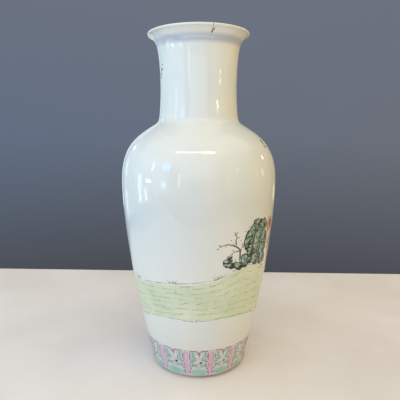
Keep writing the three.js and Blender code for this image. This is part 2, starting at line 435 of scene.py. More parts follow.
class Brush(Enum):
    """How a stroke's width runs from where the brush lands to where it lifts."""

    LINE = "even, with short round ends"
    TAPER = "broad where it lands, drawn out to a hair"
    LEAF = "swelling in the middle and pointed at both ends"
    BLOB = "as round as a pressed tip"

    def profile(self, count: int) -> Array:
        """Share of the full width at evenly spaced places along the stroke.

        Args:
            count: How many places.

        Returns:
            Shares, small but never nothing at the ends.
        """
        s = np.linspace(0.0, 1.0, count)
        shape = {
            Brush.LINE: np.sqrt(np.clip(np.minimum(s, 1 - s) / 0.08, 0, 1)),
            Brush.TAPER: np.sqrt(np.clip(s / 0.1, 0, 1)) * (1 - s) ** 0.7,
            Brush.LEAF: np.sin(math.pi * s**0.85) ** 0.9,
            Brush.BLOB: np.sqrt(np.clip(1 - (2 * s - 1) ** 2, 0, 1)),
        }[self]
        return np.maximum(shape, 0.06)


@dataclass
class Skin:
    """Gathers closed films of enamel on a chart, to be made one mesh."""

    chart: Chart
    sink: float = 0.035
    points: list[Array] = field(default_factory=list)
    faces: list[Array] = field(default_factory=list)
    tones: list[Array] = field(default_factory=list)
    pools: list[Array] = field(default_factory=list)

    def add(self, points: Array, faces: Array, tone: Array, pool: Array) -> None:
        """Takes in closed faces and turns them to point outwards.

        Args:
            points: Points in metres, of any leading shape.
            faces: Four-sided faces by point index.
            tone, pool: A tint and a thickness of colour for each point.
        """
        flat = points.reshape(-1, 3)
        start = sum(len(block) for block in self.points)
        self.points.append(flat)
        self.faces.append((faces if volume(flat, faces) > 0 else faces[:, ::-1]) + start)
        self.tones.append(np.broadcast_to(tone, points.shape[:-1]).reshape(-1))
        self.pools.append(np.broadcast_to(pool, points.shape[:-1]).reshape(-1))

    def strokes(
        self,
        paths: Array,
        width: Array | float,
        brush: Brush,
        raised: float = 0.09,
        tone: Array | float = 0.5,
        base: float = 0.0,
    ) -> None:
        """Brush strokes. Each is a four-cornered ring carried along its path: two edges sunk in the glaze,
        a crown over them and a keel under them, all scaled by the brush's profile.

        Args:
            paths: (strokes, stations, 2) of angle and height.
            width: Full width of each stroke in millimetres.
            brush: The run of the width.
            raised: Height of the crown.
            tone: A tint for each stroke, 0 to 1.
            base: Lift of the colour that the stroke is painted over.
        """
        count, stations = paths.shape[:2]
        round_mm = self.chart.per_degree(paths[..., 1])
        along = np.gradient(paths, axis=1)
        east, north = along[..., 0] * round_mm, along[..., 1]
        long = np.maximum(np.hypot(east, north), 1e-9)
        share = brush.profile(stations)[None, :]
        half = np.broadcast_to(np.asarray(width, float).reshape(-1, 1), (count, 1)) / 2 * share
        side = pair(-north / long * half / round_mm, east / long * half)
        edges = (paths - side, paths, paths + side, paths)
        lifts = (-self.sink, raised * np.sqrt(share), -self.sink, -2 * self.sink)
        places = [self.chart.place(e[..., 0], e[..., 1], base + lift) for e, lift in zip(edges, lifts)]
        ends = np.array([[3, 2, 1, 0], [-4, -3, -2, -1]]) + [[0], [4 * stations]]
        one = np.vstack([grid_faces(stations, 4, False, True), ends])
        faces = (one[None] + (np.arange(count) * stations * 4)[:, None, None]).reshape(-1, 4)
        tones = np.asarray(tone, float).reshape(-1, 1, 1)
        self.add(np.stack(places, axis=2), faces, tones, np.array([1.0, 0.2, 1.0, 1.0]))

    def film(
        self,
        angle: Array,
        height: Array,
        raised: float = 0.05,
        tone: Array | float = 0.5,
        base: float = 0.0,
        wrap: bool = False,
    ) -> None:
        """A film of colour over a grid of places, closed underneath. Its top rises from borders sunk in the
        glaze to full thickness within two cells.

        Args:
            angle, height: The places, each (rows, columns) or broadcast to it.
            raised: Thickness of the colour.
            tone: A tint, for the whole film or each place.
            base: Lift of the colour under it.
            wrap: Whether the columns go all the way round the vase.
        """
        angle, height = np.broadcast_arrays(angle, height)
        rows, columns = angle.shape
        down = np.minimum(np.arange(rows), np.arange(rows)[::-1])[:, None] + np.zeros((1, columns))
        across = np.minimum(np.arange(columns), np.arange(columns)[::-1])[None, :] + np.zeros((rows, 1))
        rim = np.clip((down if wrap else np.minimum(down, across)) / 2.0, 0.0, 1.0)
        top = self.chart.place(angle, height, base - self.sink + (raised + self.sink) * np.sqrt(rim))
        under = self.chart.place(angle, height, base - 2.5 * self.sink)
        upper = grid_faces(rows, columns, False, wrap)
        size = rows * columns
        ring = np.arange(columns) if wrap else np.arange(columns - 1)
        after = (ring + 1) % columns
        borders = [(after, ring), (ring + (rows - 1) * columns, after + (rows - 1) * columns)]
        if not wrap:
            column = np.arange(rows - 1) * columns
            borders += [(column, column + columns), (column + 2 * columns - 1, column + columns - 1)]
        walls = [np.stack([a, b, b + size, a + size], axis=-1) for a, b in borders]
        tones = np.broadcast_to(tone, (rows, columns))
        faces = np.vstack([upper, upper[:, ::-1] + size, *walls])
        self.add(np.stack([top, under]), faces, np.stack([tones, tones]), np.stack([1 - rim, np.ones_like(rim)]))

    def finish(self, name: str, finish: "Finish") -> Piece:
        """Makes the gathered films one piece of the vase."""
        tone, pool = np.concatenate(self.tones), np.concatenate(self.pools)
        return make_piece(name, np.vstack(self.points), [np.vstack(self.faces)], finish, "glaze", tone=tone, pool=pool)


# Finishes


@dataclass(frozen=True)
class Nodes:
    """A node tree with short ways of adding to it."""

    tree: bpy.types.NodeTree

    def feed(self, term: Term, socket: Socket) -> None:
        """Puts something into an input socket.

        Args:
            term: Another node's socket, a number or a colour.
            socket: The input.
        """
        if isinstance(term, bpy.types.NodeSocket):
            self.tree.links.new(term, socket)
        else:
            socket.default_value = (*term, 1.0) if isinstance(term, tuple) else term

    def add(self, kind: str, inputs: dict[int | str, Term], **settings: object) -> Sequence[Socket]:
        """Adds a shader node.

        Args:
            kind: The node's type, without its prefix.
            inputs: What goes into its sockets, by place or name.
            settings: Its other properties.

        Returns:
            Its output sockets.
        """
        node = self.tree.nodes.new("ShaderNode" + kind)
        for name, value in settings.items():
            setattr(node, name, value)
        for key, term in inputs.items():
            self.feed(term, node.inputs[key])
        return node.outputs

    def mixed(self, share: Term, low: Term, high: Term) -> Socket:
        """Two colours mixed, by the share of the second."""
        return self.add("Mix", {0: share, 6: low, 7: high}, data_type="RGBA")[2]

    def mapped(self, value: Socket, low: float, high: float, to_low: float = 0.0, to_high: float = 1.0) -> Socket:
        """A value carried from one range to another, held at the ends."""
        return self.add("MapRange", dict(enumerate((value, low, high, to_low, to_high))))[0]

    def times(self, first: Socket, second: Term) -> Socket:
        """The product of two values."""
        return self.add("Math", {0: first, 1: second}, operation="MULTIPLY")[0]

    def total(self, first: Socket, second: Term) -> Socket:
        """The sum of two values."""
        return self.add("Math", {0: first, 1: second}, operation="ADD")[0]

    def noise(self, place: Socket, scale: Term, detail: float = 3.0) -> Socket:
        """A noise texture's value at a place, with a scale in features per metre."""
        return self.add("TexNoise", {"Vector": place, "Scale": scale, "Detail": detail})[0]

    def attribute(self, name: str) -> Socket:
        """The value that a piece's points carry under a name."""
        return self.add("Attribute", {}, attribute_name=name)["Fac"]

    def bump(self, height: Socket, depth: float, strength: float) -> Socket:
        """A normal from a height socket, with the relief's depth in metres."""
        return self.add("Bump", {"Strength": strength, "Distance": depth, "Height": height})["Normal"]


@cache
def brushwork() -> bpy.types.NodeTree:
    """How enamel lies: thicker where the brush rested, thinner where it dragged.

    Inputs are the place, the strokes' scale, the piece's tone and pool; outputs are how deep the colour
    is, 0 to 1, and the height of its surface.

    Returns:
        The node group.
    """
    tree = bpy.data.node_groups.new("brushwork", "ShaderNodeTree")
    tree.interface.new_socket("Place", in_out="INPUT", socket_type="NodeSocketVector")
    for name in ("Scale", "Tone", "Pool"):
        tree.interface.new_socket(name, in_out="INPUT", socket_type="NodeSocketFloat")
    for name in ("Depth", "Relief"):
        tree.interface.new_socket(name, in_out="OUTPUT", socket_type="NodeSocketFloat")
    nodes = Nodes(tree)
    place, scale, tone, pool = list(tree.nodes.new("NodeGroupInput").outputs)[:4]
    out = tree.nodes.new("NodeGroupOutput").inputs
    broad = nodes.noise(place, scale, 2.0)
    fine = nodes.noise(place, nodes.times(scale, 4.3), 4.0)
    wash = nodes.mapped(nodes.total(nodes.times(broad, 0.75), nodes.times(fine, 0.45)), 0.42, 0.78)
    shade = nodes.total(nodes.times(wash, 0.45), nodes.times(tone, 0.45))
    shade = nodes.total(shade, nodes.times(pool, 0.25))
    nodes.feed(nodes.mapped(shade, 0.0, 1.0), out["Depth"])
    nodes.feed(fine, out["Relief"])
    return tree


@dataclass(frozen=True)
class Finish:
    """Something that a piece can be coated with."""

    name: str

    def coat(self, nodes: Nodes, place: Socket) -> dict[str, Term]:
        """What goes into the Principled shader's sockets, by name.

        Args:
            nodes: The material's tree.
            place: The socket of Object coordinates.

        Returns:
            A socket, number or colour for each.
        """
        raise NotImplementedError

    def material(self) -> bpy.types.Material:
        """The material, made the first time it is asked for.

        Returns:
            The material.
        """
        if self.name in bpy.data.materials:
            return bpy.data.materials[self.name]
        material = bpy.data.materials.new(self.name)
        material.use_nodes = True
        nodes = Nodes(material.node_tree)
        shader = nodes.tree.nodes["Principled BSDF"]
        for name, term in self.coat(nodes, nodes.add("TexCoord", {})["Object"]).items():
            nodes.feed(term, shader.inputs[name])
        return material


@dataclass(frozen=True)
class Enamel(Finish):
    """Overglaze enamel: glassy colour that deepens where it pools."""

    pale: Colour
    deep: Colour
    scale: float
    smooth: float = 0.16
    rough: float = 0.3
    relief_depth: float = 0.00012

    def coat(self, nodes: Nodes, place: Socket) -> dict[str, Term]:
        """The colour, roughness and relief that the brushwork gives.

        Args:
            nodes: The material's tree.
            place: The socket of Object coordinates.

        Returns:
            What goes into the shader's sockets, by name.
        """
        lies = {"Place": place, "Scale": self.scale, "Tone": nodes.attribute("tone"), "Pool": nodes.attribute("pool")}
        lay = nodes.add("Group", lies, node_tree=brushwork())
        return {
            "Base Color": nodes.mixed(lay["Depth"], self.pale, self.deep),
            "Roughness": nodes.mapped(lay["Relief"], 0.3, 0.7, self.smooth, self.rough),
            "Normal": nodes.bump(lay["Relief"], self.relief_depth, 0.35),
        }


@dataclass(frozen=True)
class Porcelain(Finish):
    """Transparent glaze on white porcelain, bare where the vase stands. Heights are metres."""

    warm: Colour = srgb(232, 232, 224)
    cool: Colour = srgb(222, 229, 226)
    biscuit: Colour = srgb(224, 212, 190)
    scorched: Colour = srgb(196, 160, 122)
    speck: Colour = srgb(150, 132, 110)
    # Painted shade: a bluish band in the throat under the lip, with the heights where it rises and where it fades.
    under_lip_shade: Colour = srgb(191, 199, 208)
    # A darker tint towards the bottom, and the heights over which it fades out.
    toned: Colour = srgb(219, 219, 211)
    under_lip_shade_foot: Point = (0.4292, 0.4342)
    under_lip_shade_head: Point = (0.4385, 0.4425)
    toned_band: Point = (0.04, 0.12)
    bare_below: float = 0.0009
    specks_per_metre: float = 70.0
    gloss: Point = (0.035, 0.07)
    biscuit_rough: float = 0.75
    index: float = 1.52

    def coat(self, nodes: Nodes, place: Socket) -> dict[str, Term]:
        """The glaze: two whites drifting into each other, rare iron specks, a painted bluish shade in the throat under
        the lip, a darker tint towards the bottom, and bare clay with a scorched edge under the foot.

        Args:
            nodes: The material's tree.
            place: The socket of Object coordinates.

        Returns:
            What goes into the shader's sockets, by name.
        """
        height = nodes.add("SeparateXYZ", {0: place})["Z"]
        glaze = nodes.mixed(nodes.mapped(nodes.noise(place, 9.0), 0.35, 0.65), self.warm, self.cool)
        cells = nodes.add("TexVoronoi", {"Vector": place, "Scale": self.specks_per_metre})["Distance"]
        rare = nodes.mapped(nodes.noise(place, 23.0, 1.0), 0.58, 0.66, 0.0, 0.55)
        glaze = nodes.mixed(nodes.times(nodes.mapped(cells, 0.02, 0.05, 1.0, 0.0), rare), glaze, self.speck)
        # Painted shade and reflection: a bluish band mixed into the glaze in the throat under the lip.
        foot, head = nodes.mapped(height, *self.under_lip_shade_foot), nodes.mapped(height, *self.under_lip_shade_head, 1.0, 0.0)
        glaze = nodes.mixed(nodes.times(foot, head), glaze, self.under_lip_shade)
        # Darker tint towards the bottom, fading out by 0.12 m.
        glaze = nodes.mixed(nodes.mapped(height, *self.toned_band, 1.0, 0.0), glaze, self.toned)
        level = nodes.total(height, nodes.times(nodes.noise(place, 260.0), 0.0009))
        bare = nodes.mapped(level, self.bare_below, self.bare_below + 0.0004, 1.0, 0.0)
        edge = nodes.mapped(level, self.bare_below + 0.0003, self.bare_below + 0.0016, 0.7, 0.0)
        clay = nodes.mixed(nodes.noise(place, 900.0, 4.0), self.biscuit, self.scorched)
        peel = nodes.noise(place, 210.0, 2.0)
        gloss = nodes.mapped(peel, 0.3, 0.7, *self.gloss)
        relief = nodes.total(nodes.noise(place, 26.0, 2.0), nodes.times(peel, 0.12))
        return {
            "Base Color": nodes.mixed(bare, nodes.mixed(edge, glaze, self.scorched), clay),
            "Roughness": nodes.total(gloss, nodes.mapped(bare, 0.0, 1.0, 0.0, self.biscuit_rough)),
            "IOR": self.index,
            "Normal": nodes.bump(relief, 0.0006, 0.35),
        }


@dataclass(frozen=True)
class Cloth(Finish):
    """The pale cloth that the vase stands on."""

    light: Colour = srgb(246, 239, 234)
    shade: Colour = srgb(237, 229, 222)

    def coat(self, nodes: Nodes, place: Socket) -> dict[str, Term]:
        """Slow drifts of tint and a fine weave.

        Args:
            nodes: The material's tree.
            place: The socket of Object coordinates.

        Returns:
            What goes into the shader's sockets, by name.
        """
        tint = nodes.mapped(nodes.noise(place, 6.0, 4.0), 0.35, 0.65)
        return {
            "Base Color": nodes.mixed(tint, self.light, self.shade),
            "Roughness": nodes.mapped(nodes.noise(place, 40.0, 4.0), 0.3, 0.7, 0.6, 0.75),
            "Normal": nodes.bump(nodes.noise(place, 700.0, 2.0), 0.0004, 0.2),
        }


PORCELAIN = Porcelain("porcelain_glaze")
SLIP_GLAZE = Enamel("glazed_slip", srgb(226, 228, 220), srgb(206, 206, 194), 60.0, 0.12, 0.26)
MEADOW = Enamel("meadow_green", srgb(227, 231, 209), srgb(193, 206, 166), 26.0, 0.14, 0.2, 0.00004)
GRASS_INK = Enamel("grass_ink", srgb(138, 153, 122), srgb(84, 102, 78), 300.0)
TEAL_WASH = Enamel("rock_teal", srgb(160, 186, 168), srgb(52, 80, 66), 190.0)
ROCK_LIGHT = Enamel("rock_light", srgb(228, 230, 210), srgb(172, 200, 182), 300.0)
ROCK_INK = Enamel("rock_ink", srgb(58, 68, 60), srgb(20, 26, 22), 400.0)
TWIG_INK = Enamel("twig_brown", srgb(118, 104, 92), srgb(62, 52, 48), 400.0)
BARK = Enamel("bark_lilac", srgb(170, 142, 156), srgb(112, 84, 98), 300.0)
CORAL = Enamel("blossom_coral", srgb(224, 164, 128), srgb(176, 92, 58), 260.0)
LEAF_GREEN = Enamel("leaf_green", srgb(88, 126, 90), srgb(26, 58, 42), 260.0)
TURQUOISE = Enamel("lappet_turquoise", srgb(166, 196, 187), srgb(112, 160, 151), 260.0)
FIELD = Enamel("lappet_field", srgb(206, 211, 205), srgb(166, 186, 180), 260.0)
BASE_GREEN = Enamel("lappet_green", srgb(168, 204, 184), srgb(120, 172, 148), 260.0)
MAGENTA = Enamel("lappet_magenta", srgb(202, 140, 162), srgb(156, 84, 116), 300.0)
PINK = Enamel("lappet_pink", srgb(232, 204, 214), srgb(208, 168, 190), 260.0)
LILAC = Enamel("lappet_lilac", srgb(190, 158, 186), srgb(150, 112, 150), 300.0)
DARK_LINE = Enamel("lappet_dark", srgb(84, 84, 86), srgb(36, 36, 40), 400.0)
FOOT_LINE = Enamel("foot_line", srgb(190, 170, 172), srgb(132, 104, 112), 300.0)
PETAL = Enamel("lappet_petal", srgb(242, 226, 228), srgb(228, 186, 202), 260.0)
GOLD_DAB = Enamel("lappet_gold", srgb(236, 222, 168), srgb(208, 184, 112), 400.0)
STAIN = Enamel("rim_stain", srgb(158, 146, 126), srgb(88, 78, 64), 500.0, 0.2, 0.4)


# The vase


@dataclass
class GlazedBody:
    """The thrown, luted and glazed vase, and the wiped ridges of slip along its joints inside."""

    chart: Chart
    around: int = 192
    outside_step: float = 3.0
    inside_step: float = 5.5
    fine_step: float = 1.1
    round_beyond: float = 50.0
    ridge_proud: float = 1.5
    ridge_rise: float = 2.8
    ridge_half_height: float = 6.0
    ridge_sunk: Point = (0.3, 0.8)

    def build(self) -> list[Piece]:
        """Builds both pieces and hides the solids that they stand for.

        Returns:
            The pieces.
        """
        angle = np.arange(self.around) * (TURN / self.around)
        skin, ridges = self.revolved(angle), self.ridges(angle)
        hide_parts("foot_and_base", "lower_body", "upper_body", "neck_and_lip")
        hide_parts("foot_luting_ring", "waist_luting_ring", "neck_luting_ring")
        return [skin, ridges]

    def revolved(self, angle: Array) -> Piece:
        """The whole skin: the section turned about the axis, drawn in by the chart's shrink in proportion
        to the radius, with one point where each end meets the axis.

        Args:
            angle: The turns, in radians.

        Returns:
            The piece.
        """
        section = self.chart.outline.section(self.outside_step, self.inside_step, self.fine_step)
        radius, level = section[1:-1, :1], section[1:-1, 1:]
        grip = np.clip(radius / self.round_beyond, 0.0, 1.0)
        rings = turned(radius - grip * self.chart.shrink(angle, level), angle, level)
        poles = section[[0, -1], 1:] * np.array([0.0, 0.0, MM])
        points = np.vstack([rings.reshape(-1, 3), poles])
        quads = grid_faces(len(rings), self.around, False, True)
        column = np.arange(self.around)
        after = (column + 1) % self.around
        last = (len(rings) - 1) * self.around
        pole = np.full(self.around, len(rings) * self.around)
        fans = ((pole, after, column), (pole + 1, column + last, after + last))
        tris = np.vstack([np.stack(fan, axis=-1) for fan in fans])
        if volume(points, quads) < 0:
            quads, tris = quads[:, ::-1], tris[:, ::-1]
        return make_piece("glazed_body", points, [quads, tris], PORCELAIN, "glaze")

    def ridges(self, angle: Array) -> Piece:
        """Three low ridges inside: on each joint the wall's line bulges inwards by a half wave, and a line
        sunk in the wall closes it behind.

        Args:
            angle: The turns, in radians.

        Returns:
            The piece.
        """
        inside = self.chart.outline.inside
        share = np.linspace(-1.0, 1.0, 13)
        bulge = self.ridge_proud * np.cos(share * math.pi / 2) ** 2
        near, far = self.ridge_sunk
        blocks, faces = [], []
        for seam in self.chart.outline.seams:
            level = seam + self.ridge_rise + share * self.ridge_half_height
            wall = np.interp(level, inside[:, 1], inside[:, 0])
            radius = np.concatenate([wall + near - bulge, (wall + far)[::-1]])[:, None]
            loop = np.concatenate([level, level[::-1]])[:, None]
            faces.append(grid_faces(len(loop), self.around, True, True) + sum(map(len, blocks)))
            blocks.append(turned(radius - self.chart.shrink(angle, loop), angle, loop).reshape(-1, 3))
        points, quads = np.vstack(blocks), np.vstack(faces)
        quads = quads if volume(points, quads) > 0 else quads[:, ::-1]
        shade = np.full(len(points), 0.4)
        return make_piece("luting_ridges", points, [quads], SLIP_GLAZE, "slip", tone=shade, pool=shade)


@dataclass
class Meadow:
    """The band of pale green ground round the body, its rows of broken strokes and its grass."""

    chart: Chart
    seed: int = 11
    lower_edge: float = 90.5
    rows: int = 7
    top_row: float = 0.88
    row_step: float = 0.1425
    dashes: int = 27
    lines: int = 25
    blades: int = 5
    tufts: tuple[float, ...] = (-22.5, -20, -17.5, -58, -56, 13, 15, 17.5, 88, 91, 128, 164, -96, -131, -150)
    crest: tuple[Point, ...] = (
        (-180, 146), (-140, 139), (-100, 134.5), (-75, 134.5), (-54, 136), (-30, 140.2), (-15, 141.8),
        (0, 144.2), (12, 146.9), (22, 153.2), (27, 156.8), (34, 161), (38, 162), (45, 159), (52, 160.5),
        (59, 157), (80, 150), (110, 144), (145, 148), (180, 146),
    )
    hem: tuple[Point, ...] = (
        (-180, -5), (-95, -8), (-64, -8), (-48, -4.5), (-38, -2), (-15, 0.4), (25, 0.4), (42, -0.6),
        (56, -3.2), (66, -4.8), (95, -6), (180, -5),
    )

    def top(self, angle: Array) -> Array:
        """Height of the ground's upper edge: a smooth line through the crest's points."""
        return np.interp(wrapped(angle), *through(self.crest, 400).T)

    def foot(self, angle: Array) -> Array:
        """Height of the ground's lower edge: level in front, and let down at the sides."""
        return self.lower_edge + np.interp(wrapped(angle), *through(self.hem, 400).T)

    def build(self) -> list[Piece]:
        """Builds the wash, the broken strokes and the grass.

        Returns:
            The pieces.
        """
        rng = np.random.default_rng(self.seed)
        return [self.wash(), self.strokes(rng), self.grass(rng)]

    def wash(self) -> Piece:
        """The wash: a grid all the way round, from the lower edge to the crest, whose edges waver by a few
        sines. Its tint is streaked along the rows, thin near the crest and rubbed pale in one place.

        Returns:
            The piece.
        """
        angle = np.linspace(-180.0, 180.0, 360, endpoint=False)[None, :]
        share = np.linspace(0.0, 1.0, 25)[:, None]
        turn = np.radians(angle)
        low = self.foot(angle) + 0.3 * np.sin(turn * 7) + 0.2 * np.sin(turn * 23)
        high = self.top(angle) - 0.9 + 0.4 * np.sin(turn * 17) + 0.3 * np.sin(turn * 41)
        streak = np.sin(share * 44 + 2 * np.sin(turn * 3)) * np.sin(turn * 5 + share * 9)
        toned = np.clip((1 - share) / 0.2, 0, 1) * (0.75 + 0.25 * np.clip(share / 0.2, 0, 1))
        rubbed = np.exp(-(((angle + 9) / 9) ** 2) - ((share - 0.27) / 0.14) ** 2)
        tone = 0.6 * toned + 0.25 * streak * toned + 0.1 * np.sin(turn * 2 + share * 4) - 0.5 * rubbed
        skin = Skin(self.chart)
        skin.film(angle, low + (high - low) * share, tone=tone, wrap=True)
        return skin.finish("meadow_wash", MEADOW)

    def strokes(self, rng: Draws) -> Piece:
        """Long thin wavering strokes in rows that follow the crest, each row a fixed share of the way down,
        with dabs strung along them.

        Args:
            rng: The meadow's random draws.

        Returns:
            The piece.
        """
        row, column = (grid.reshape(-1) for grid in np.indices((self.rows, self.dashes)))
        count, pitch = row.size, 360 / self.dashes
        angle = -180 + (column + rng.uniform(0, 0.5, count)) * pitch
        share = self.top_row - self.row_step * row + rng.normal(0, 0.008, count)
        long = pitch * rng.uniform(0.6, 1.25, count)
        run = np.linspace(0, 1, 14)[None, :]
        at = angle[:, None] + run * long[:, None]
        wave = 0.35 * np.sin(at * 0.7 + rng.uniform(0, 6, (count, 1)))
        bow = rng.normal(0, 0.7, (count, 1)) * run * (1 - run) * 4 + rng.normal(0, 0.6, (count, 1)) * run
        low = self.foot(at)
        height = low + (self.top(at) - low) * share[:, None] + bow + wave
        tone, wide = rng.uniform(0.1, 1.0, count), rng.uniform(0.5, 0.95, count)
        skin = Skin(self.chart)
        skin.strokes(pair(at, height), wide, Brush.TAPER, raised=0.05, tone=tone, base=0.05)
        for station in (1, 4, 7, 10):
            dab = rng.uniform(0, 1, count) < 0.45
            size = (int(dab.sum()), 1)
            here = (dab, slice(station, station + 1))
            spot = at[here] + np.linspace(-0.5, 0.5, 5)[None, :] * rng.uniform(0.6, 1.7, size)
            level = height[here] + rng.normal(0, 0.4, size) + 0 * spot
            wide = rng.uniform(0.8, 1.5, len(spot))
            skin.strokes(pair(spot, level), wide, Brush.BLOB, raised=0.06, tone=0.8, base=0.05)
        return skin.finish("meadow_strokes", GRASS_INK)

    def grass(self, rng: Draws) -> Piece:
        """The broken line along the crest, and tufts of blades fanned out from points on it.

        Args:
            rng: The meadow's random draws.

        Returns:
            The piece.
        """
        skin = Skin(self.chart)
        size, pitch = (self.lines, 1), 360 / self.lines
        starts = -180 + (np.arange(self.lines) + rng.uniform(0, 0.3, self.lines)) * pitch
        run = np.linspace(0, 1, 14)[None, :]
        along = starts[:, None] + run * pitch * rng.uniform(0.7, 1.15, size)
        level = self.top(along) + rng.normal(0.3, 0.3, size) + rng.normal(0, 0.5, size) * run
        wide, tone = rng.uniform(0.7, 1.1, self.lines), rng.uniform(0.6, 1.0, self.lines)
        skin.strokes(pair(along, level), wide, Brush.TAPER, raised=0.06, tone=tone, base=0.04)
        root = np.array(self.tufts, float)
        size = (len(root), self.blades)
        lean = rng.normal(0, 0.3, size) + np.linspace(-0.9, 0.9, self.blades)[None, :]
        tall = rng.uniform(2.5, 7.0, size)[..., None]
        share = np.linspace(0, 1, 6)
        across = root[:, None, None] + lean[..., None] * tall * share**1.6 / 1.55
        up = self.top(root)[:, None, None] - 0.6 + tall * share
        blades = pair(across, up).reshape(-1, 6, 2)
        skin.strokes(blades, 0.6, Brush.TAPER, raised=0.06, tone=rng.uniform(0.2, 1, len(blades)), base=0.04)
        return skin.finish("meadow_grass", GRASS_INK)


@dataclass
class Rock:
    """A weathered garden rock: overlapping lobes of teal wash, each with lights, folds and a broken contour.

    A lobe is its middle, its half widths and its tilt, in millimetres and degrees about the rock's own middle.
    """

    chart: Chart
    seed: int = 5
    middle: Point = (42.0, 190.0)
    step_up: float = 0.03
    edge_strokes: int = 6
    swells: tuple[tuple[float, float, float], ...] = ((0.12, 3, 1), (0.09, 5, 2.1), (0.06, 8, 1), (0.03, 13, 0))
    lobes: tuple[tuple[float, float, float, float, float], ...] = (
        (19, 18, 9, 10.5, -20), (7, 22, 7.5, 8.5, 12), (-4, 10, 8.5, 14, -30), (24, 2, 7, 13, 4),
        (11, 4, 10, 12, 8), (-9, 2, 4.5, 8, -24), (8, -9, 10, 9, -12), (22, -13, 8.5, 9, -10),
        (-3, -11, 6.5, 6, 20), (24, -25, 8, 7.5, 8), (8, -22, 11, 8, -4), (-35.5, -18.5, 5.6, 3.6, 12),
        (-32, -25, 8, 3.0, -6), (-19, -26.5, 9, 3.8, -8), (-9, -20.5, 9.5, 7.5, 12),
    )

    def contour(self, index: int, turn: Array, reach: Array | float) -> Array:
        """A lobe's outline: an ellipse whose reach swells and shrinks by four sines, tilted, with its
        millimetres across turned into degrees.

        Args:
            index: Which lobe.
            turn: Angle round the lobe in radians.
            reach: Share of the way out from its centre.

        Returns:
            Places of (angle, height).
        """
        x, y, wide, tall, tilt = self.lobes[index]
        swell = 1 + sum(size * np.sin(waves * turn + shift * index) for size, waves, shift in self.swells)
        east, north = wide * swell * reach * np.cos(turn), tall * swell * reach * np.sin(turn)
        cos, sin = math.cos(math.radians(tilt)), math.sin(math.radians(tilt))
        height = self.middle[1] + y + east * sin + north * cos
        return pair(self.middle[0] + (x + east * cos - north * sin) / self.chart.per_degree(height), height)

    def build(self) -> list[Piece]:
        """Builds the wash, the lights and the inked lines, each lobe a step above the one before. A lobe's
        film is a square grid pressed to a disc.

        Returns:
            The pieces.
        """
        rng = np.random.default_rng(self.seed)
        wash, light, ink = Skin(self.chart), Skin(self.chart), Skin(self.chart)
        u, v = np.meshgrid(np.linspace(-1.0, 1.0, 17), np.linspace(-1.0, 1.0, 17))
        x, y = u * np.sqrt(1 - v**2 / 2), v * np.sqrt(1 - u**2 / 2)
        for index in range(len(self.lobes)):
            lift = self.step_up * (index + 1)
            place = self.contour(index, np.arctan2(y, x), 0.95 * np.hypot(x, y))
            shade = 0.45 + 0.4 * x - 0.4 * y + 0.35 * np.sin(x * 6 + y * 4 + index)
            wash.film(place[..., 0], place[..., 1], tone=np.clip(shade, 0, 1), base=lift)
            self.sweep(light, index, 5, (1.2, 3.4), (0.4, 0.85), (1.3, 2.9), lift + 0.03, rng)
            self.sweep(ink, index, 9, (-1.9, 0.5), (0.3, 0.9), (1.3, 3.3), lift + 0.05, rng)
            self.sweep(ink, index, 9, (0.0, 6.28), (0.2, 0.95), (0.6, 1.6), lift + 0.05, rng)
            self.edge(ink, index, lift + 0.02, rng)
        return [
            wash.finish("rock_wash", TEAL_WASH),
            light.finish("rock_lights", ROCK_LIGHT),
            ink.finish("rock_lines", ROCK_INK),
        ]

    def edge(self, ink: Skin, index: int, lift: float, rng: Draws) -> None:
        """A lobe's contour in overlapping strokes that swell and thin, heaviest underneath.

        Args:
            ink: Where the strokes go.
            index: Which lobe.
            lift: Their lift.
            rng: The rock's random draws.
        """
        count = self.edge_strokes
        start = np.arange(count) * TURN / count + rng.uniform(-0.3, 0.3, count)
        around = start[:, None] + np.linspace(0, 1, 14)[None, :] * rng.uniform(0.9, 1.5, (count, 1))
        paths = self.contour(index, around, rng.uniform(0.93, 1.04, (count, 1)))
        weight = 1.9 - 0.7 * np.sin(start + 0.6) + rng.uniform(-0.5, 0.8, count)
        ink.strokes(paths, weight, Brush.LEAF, raised=0.08, tone=rng.uniform(0.5, 1, count), base=lift)

    def sweep(
        self, skin: Skin, index: int, count: int, turns: Point, reaches: Point, widths: Point, lift: float, rng: Draws
    ) -> None:
        """Strokes inside a lobe that run with its contour and curl inwards.

        Args:
            skin: Where the strokes go.
            index: Which lobe.
            count: How many strokes.
            turns: The stretch of the lobe where they start, in radians.
            reaches, widths: Least and most reach at the start, and width.
            lift: Their lift.
            rng: The rock's random draws.
        """
        share = np.linspace(0, 1, 9)[None, :]
        reach = rng.uniform(*reaches, (count, 1)) - rng.uniform(0.0, 0.4, (count, 1)) * share
        turn = rng.uniform(*turns, (count, 1)) + rng.uniform(0.4, 1.4, (count, 1)) * share
        wide = rng.uniform(*widths, count)
        skin.strokes(self.contour(index, turn, reach), wide, Brush.LEAF, tone=rng.uniform(0.1, 1, count), base=lift)


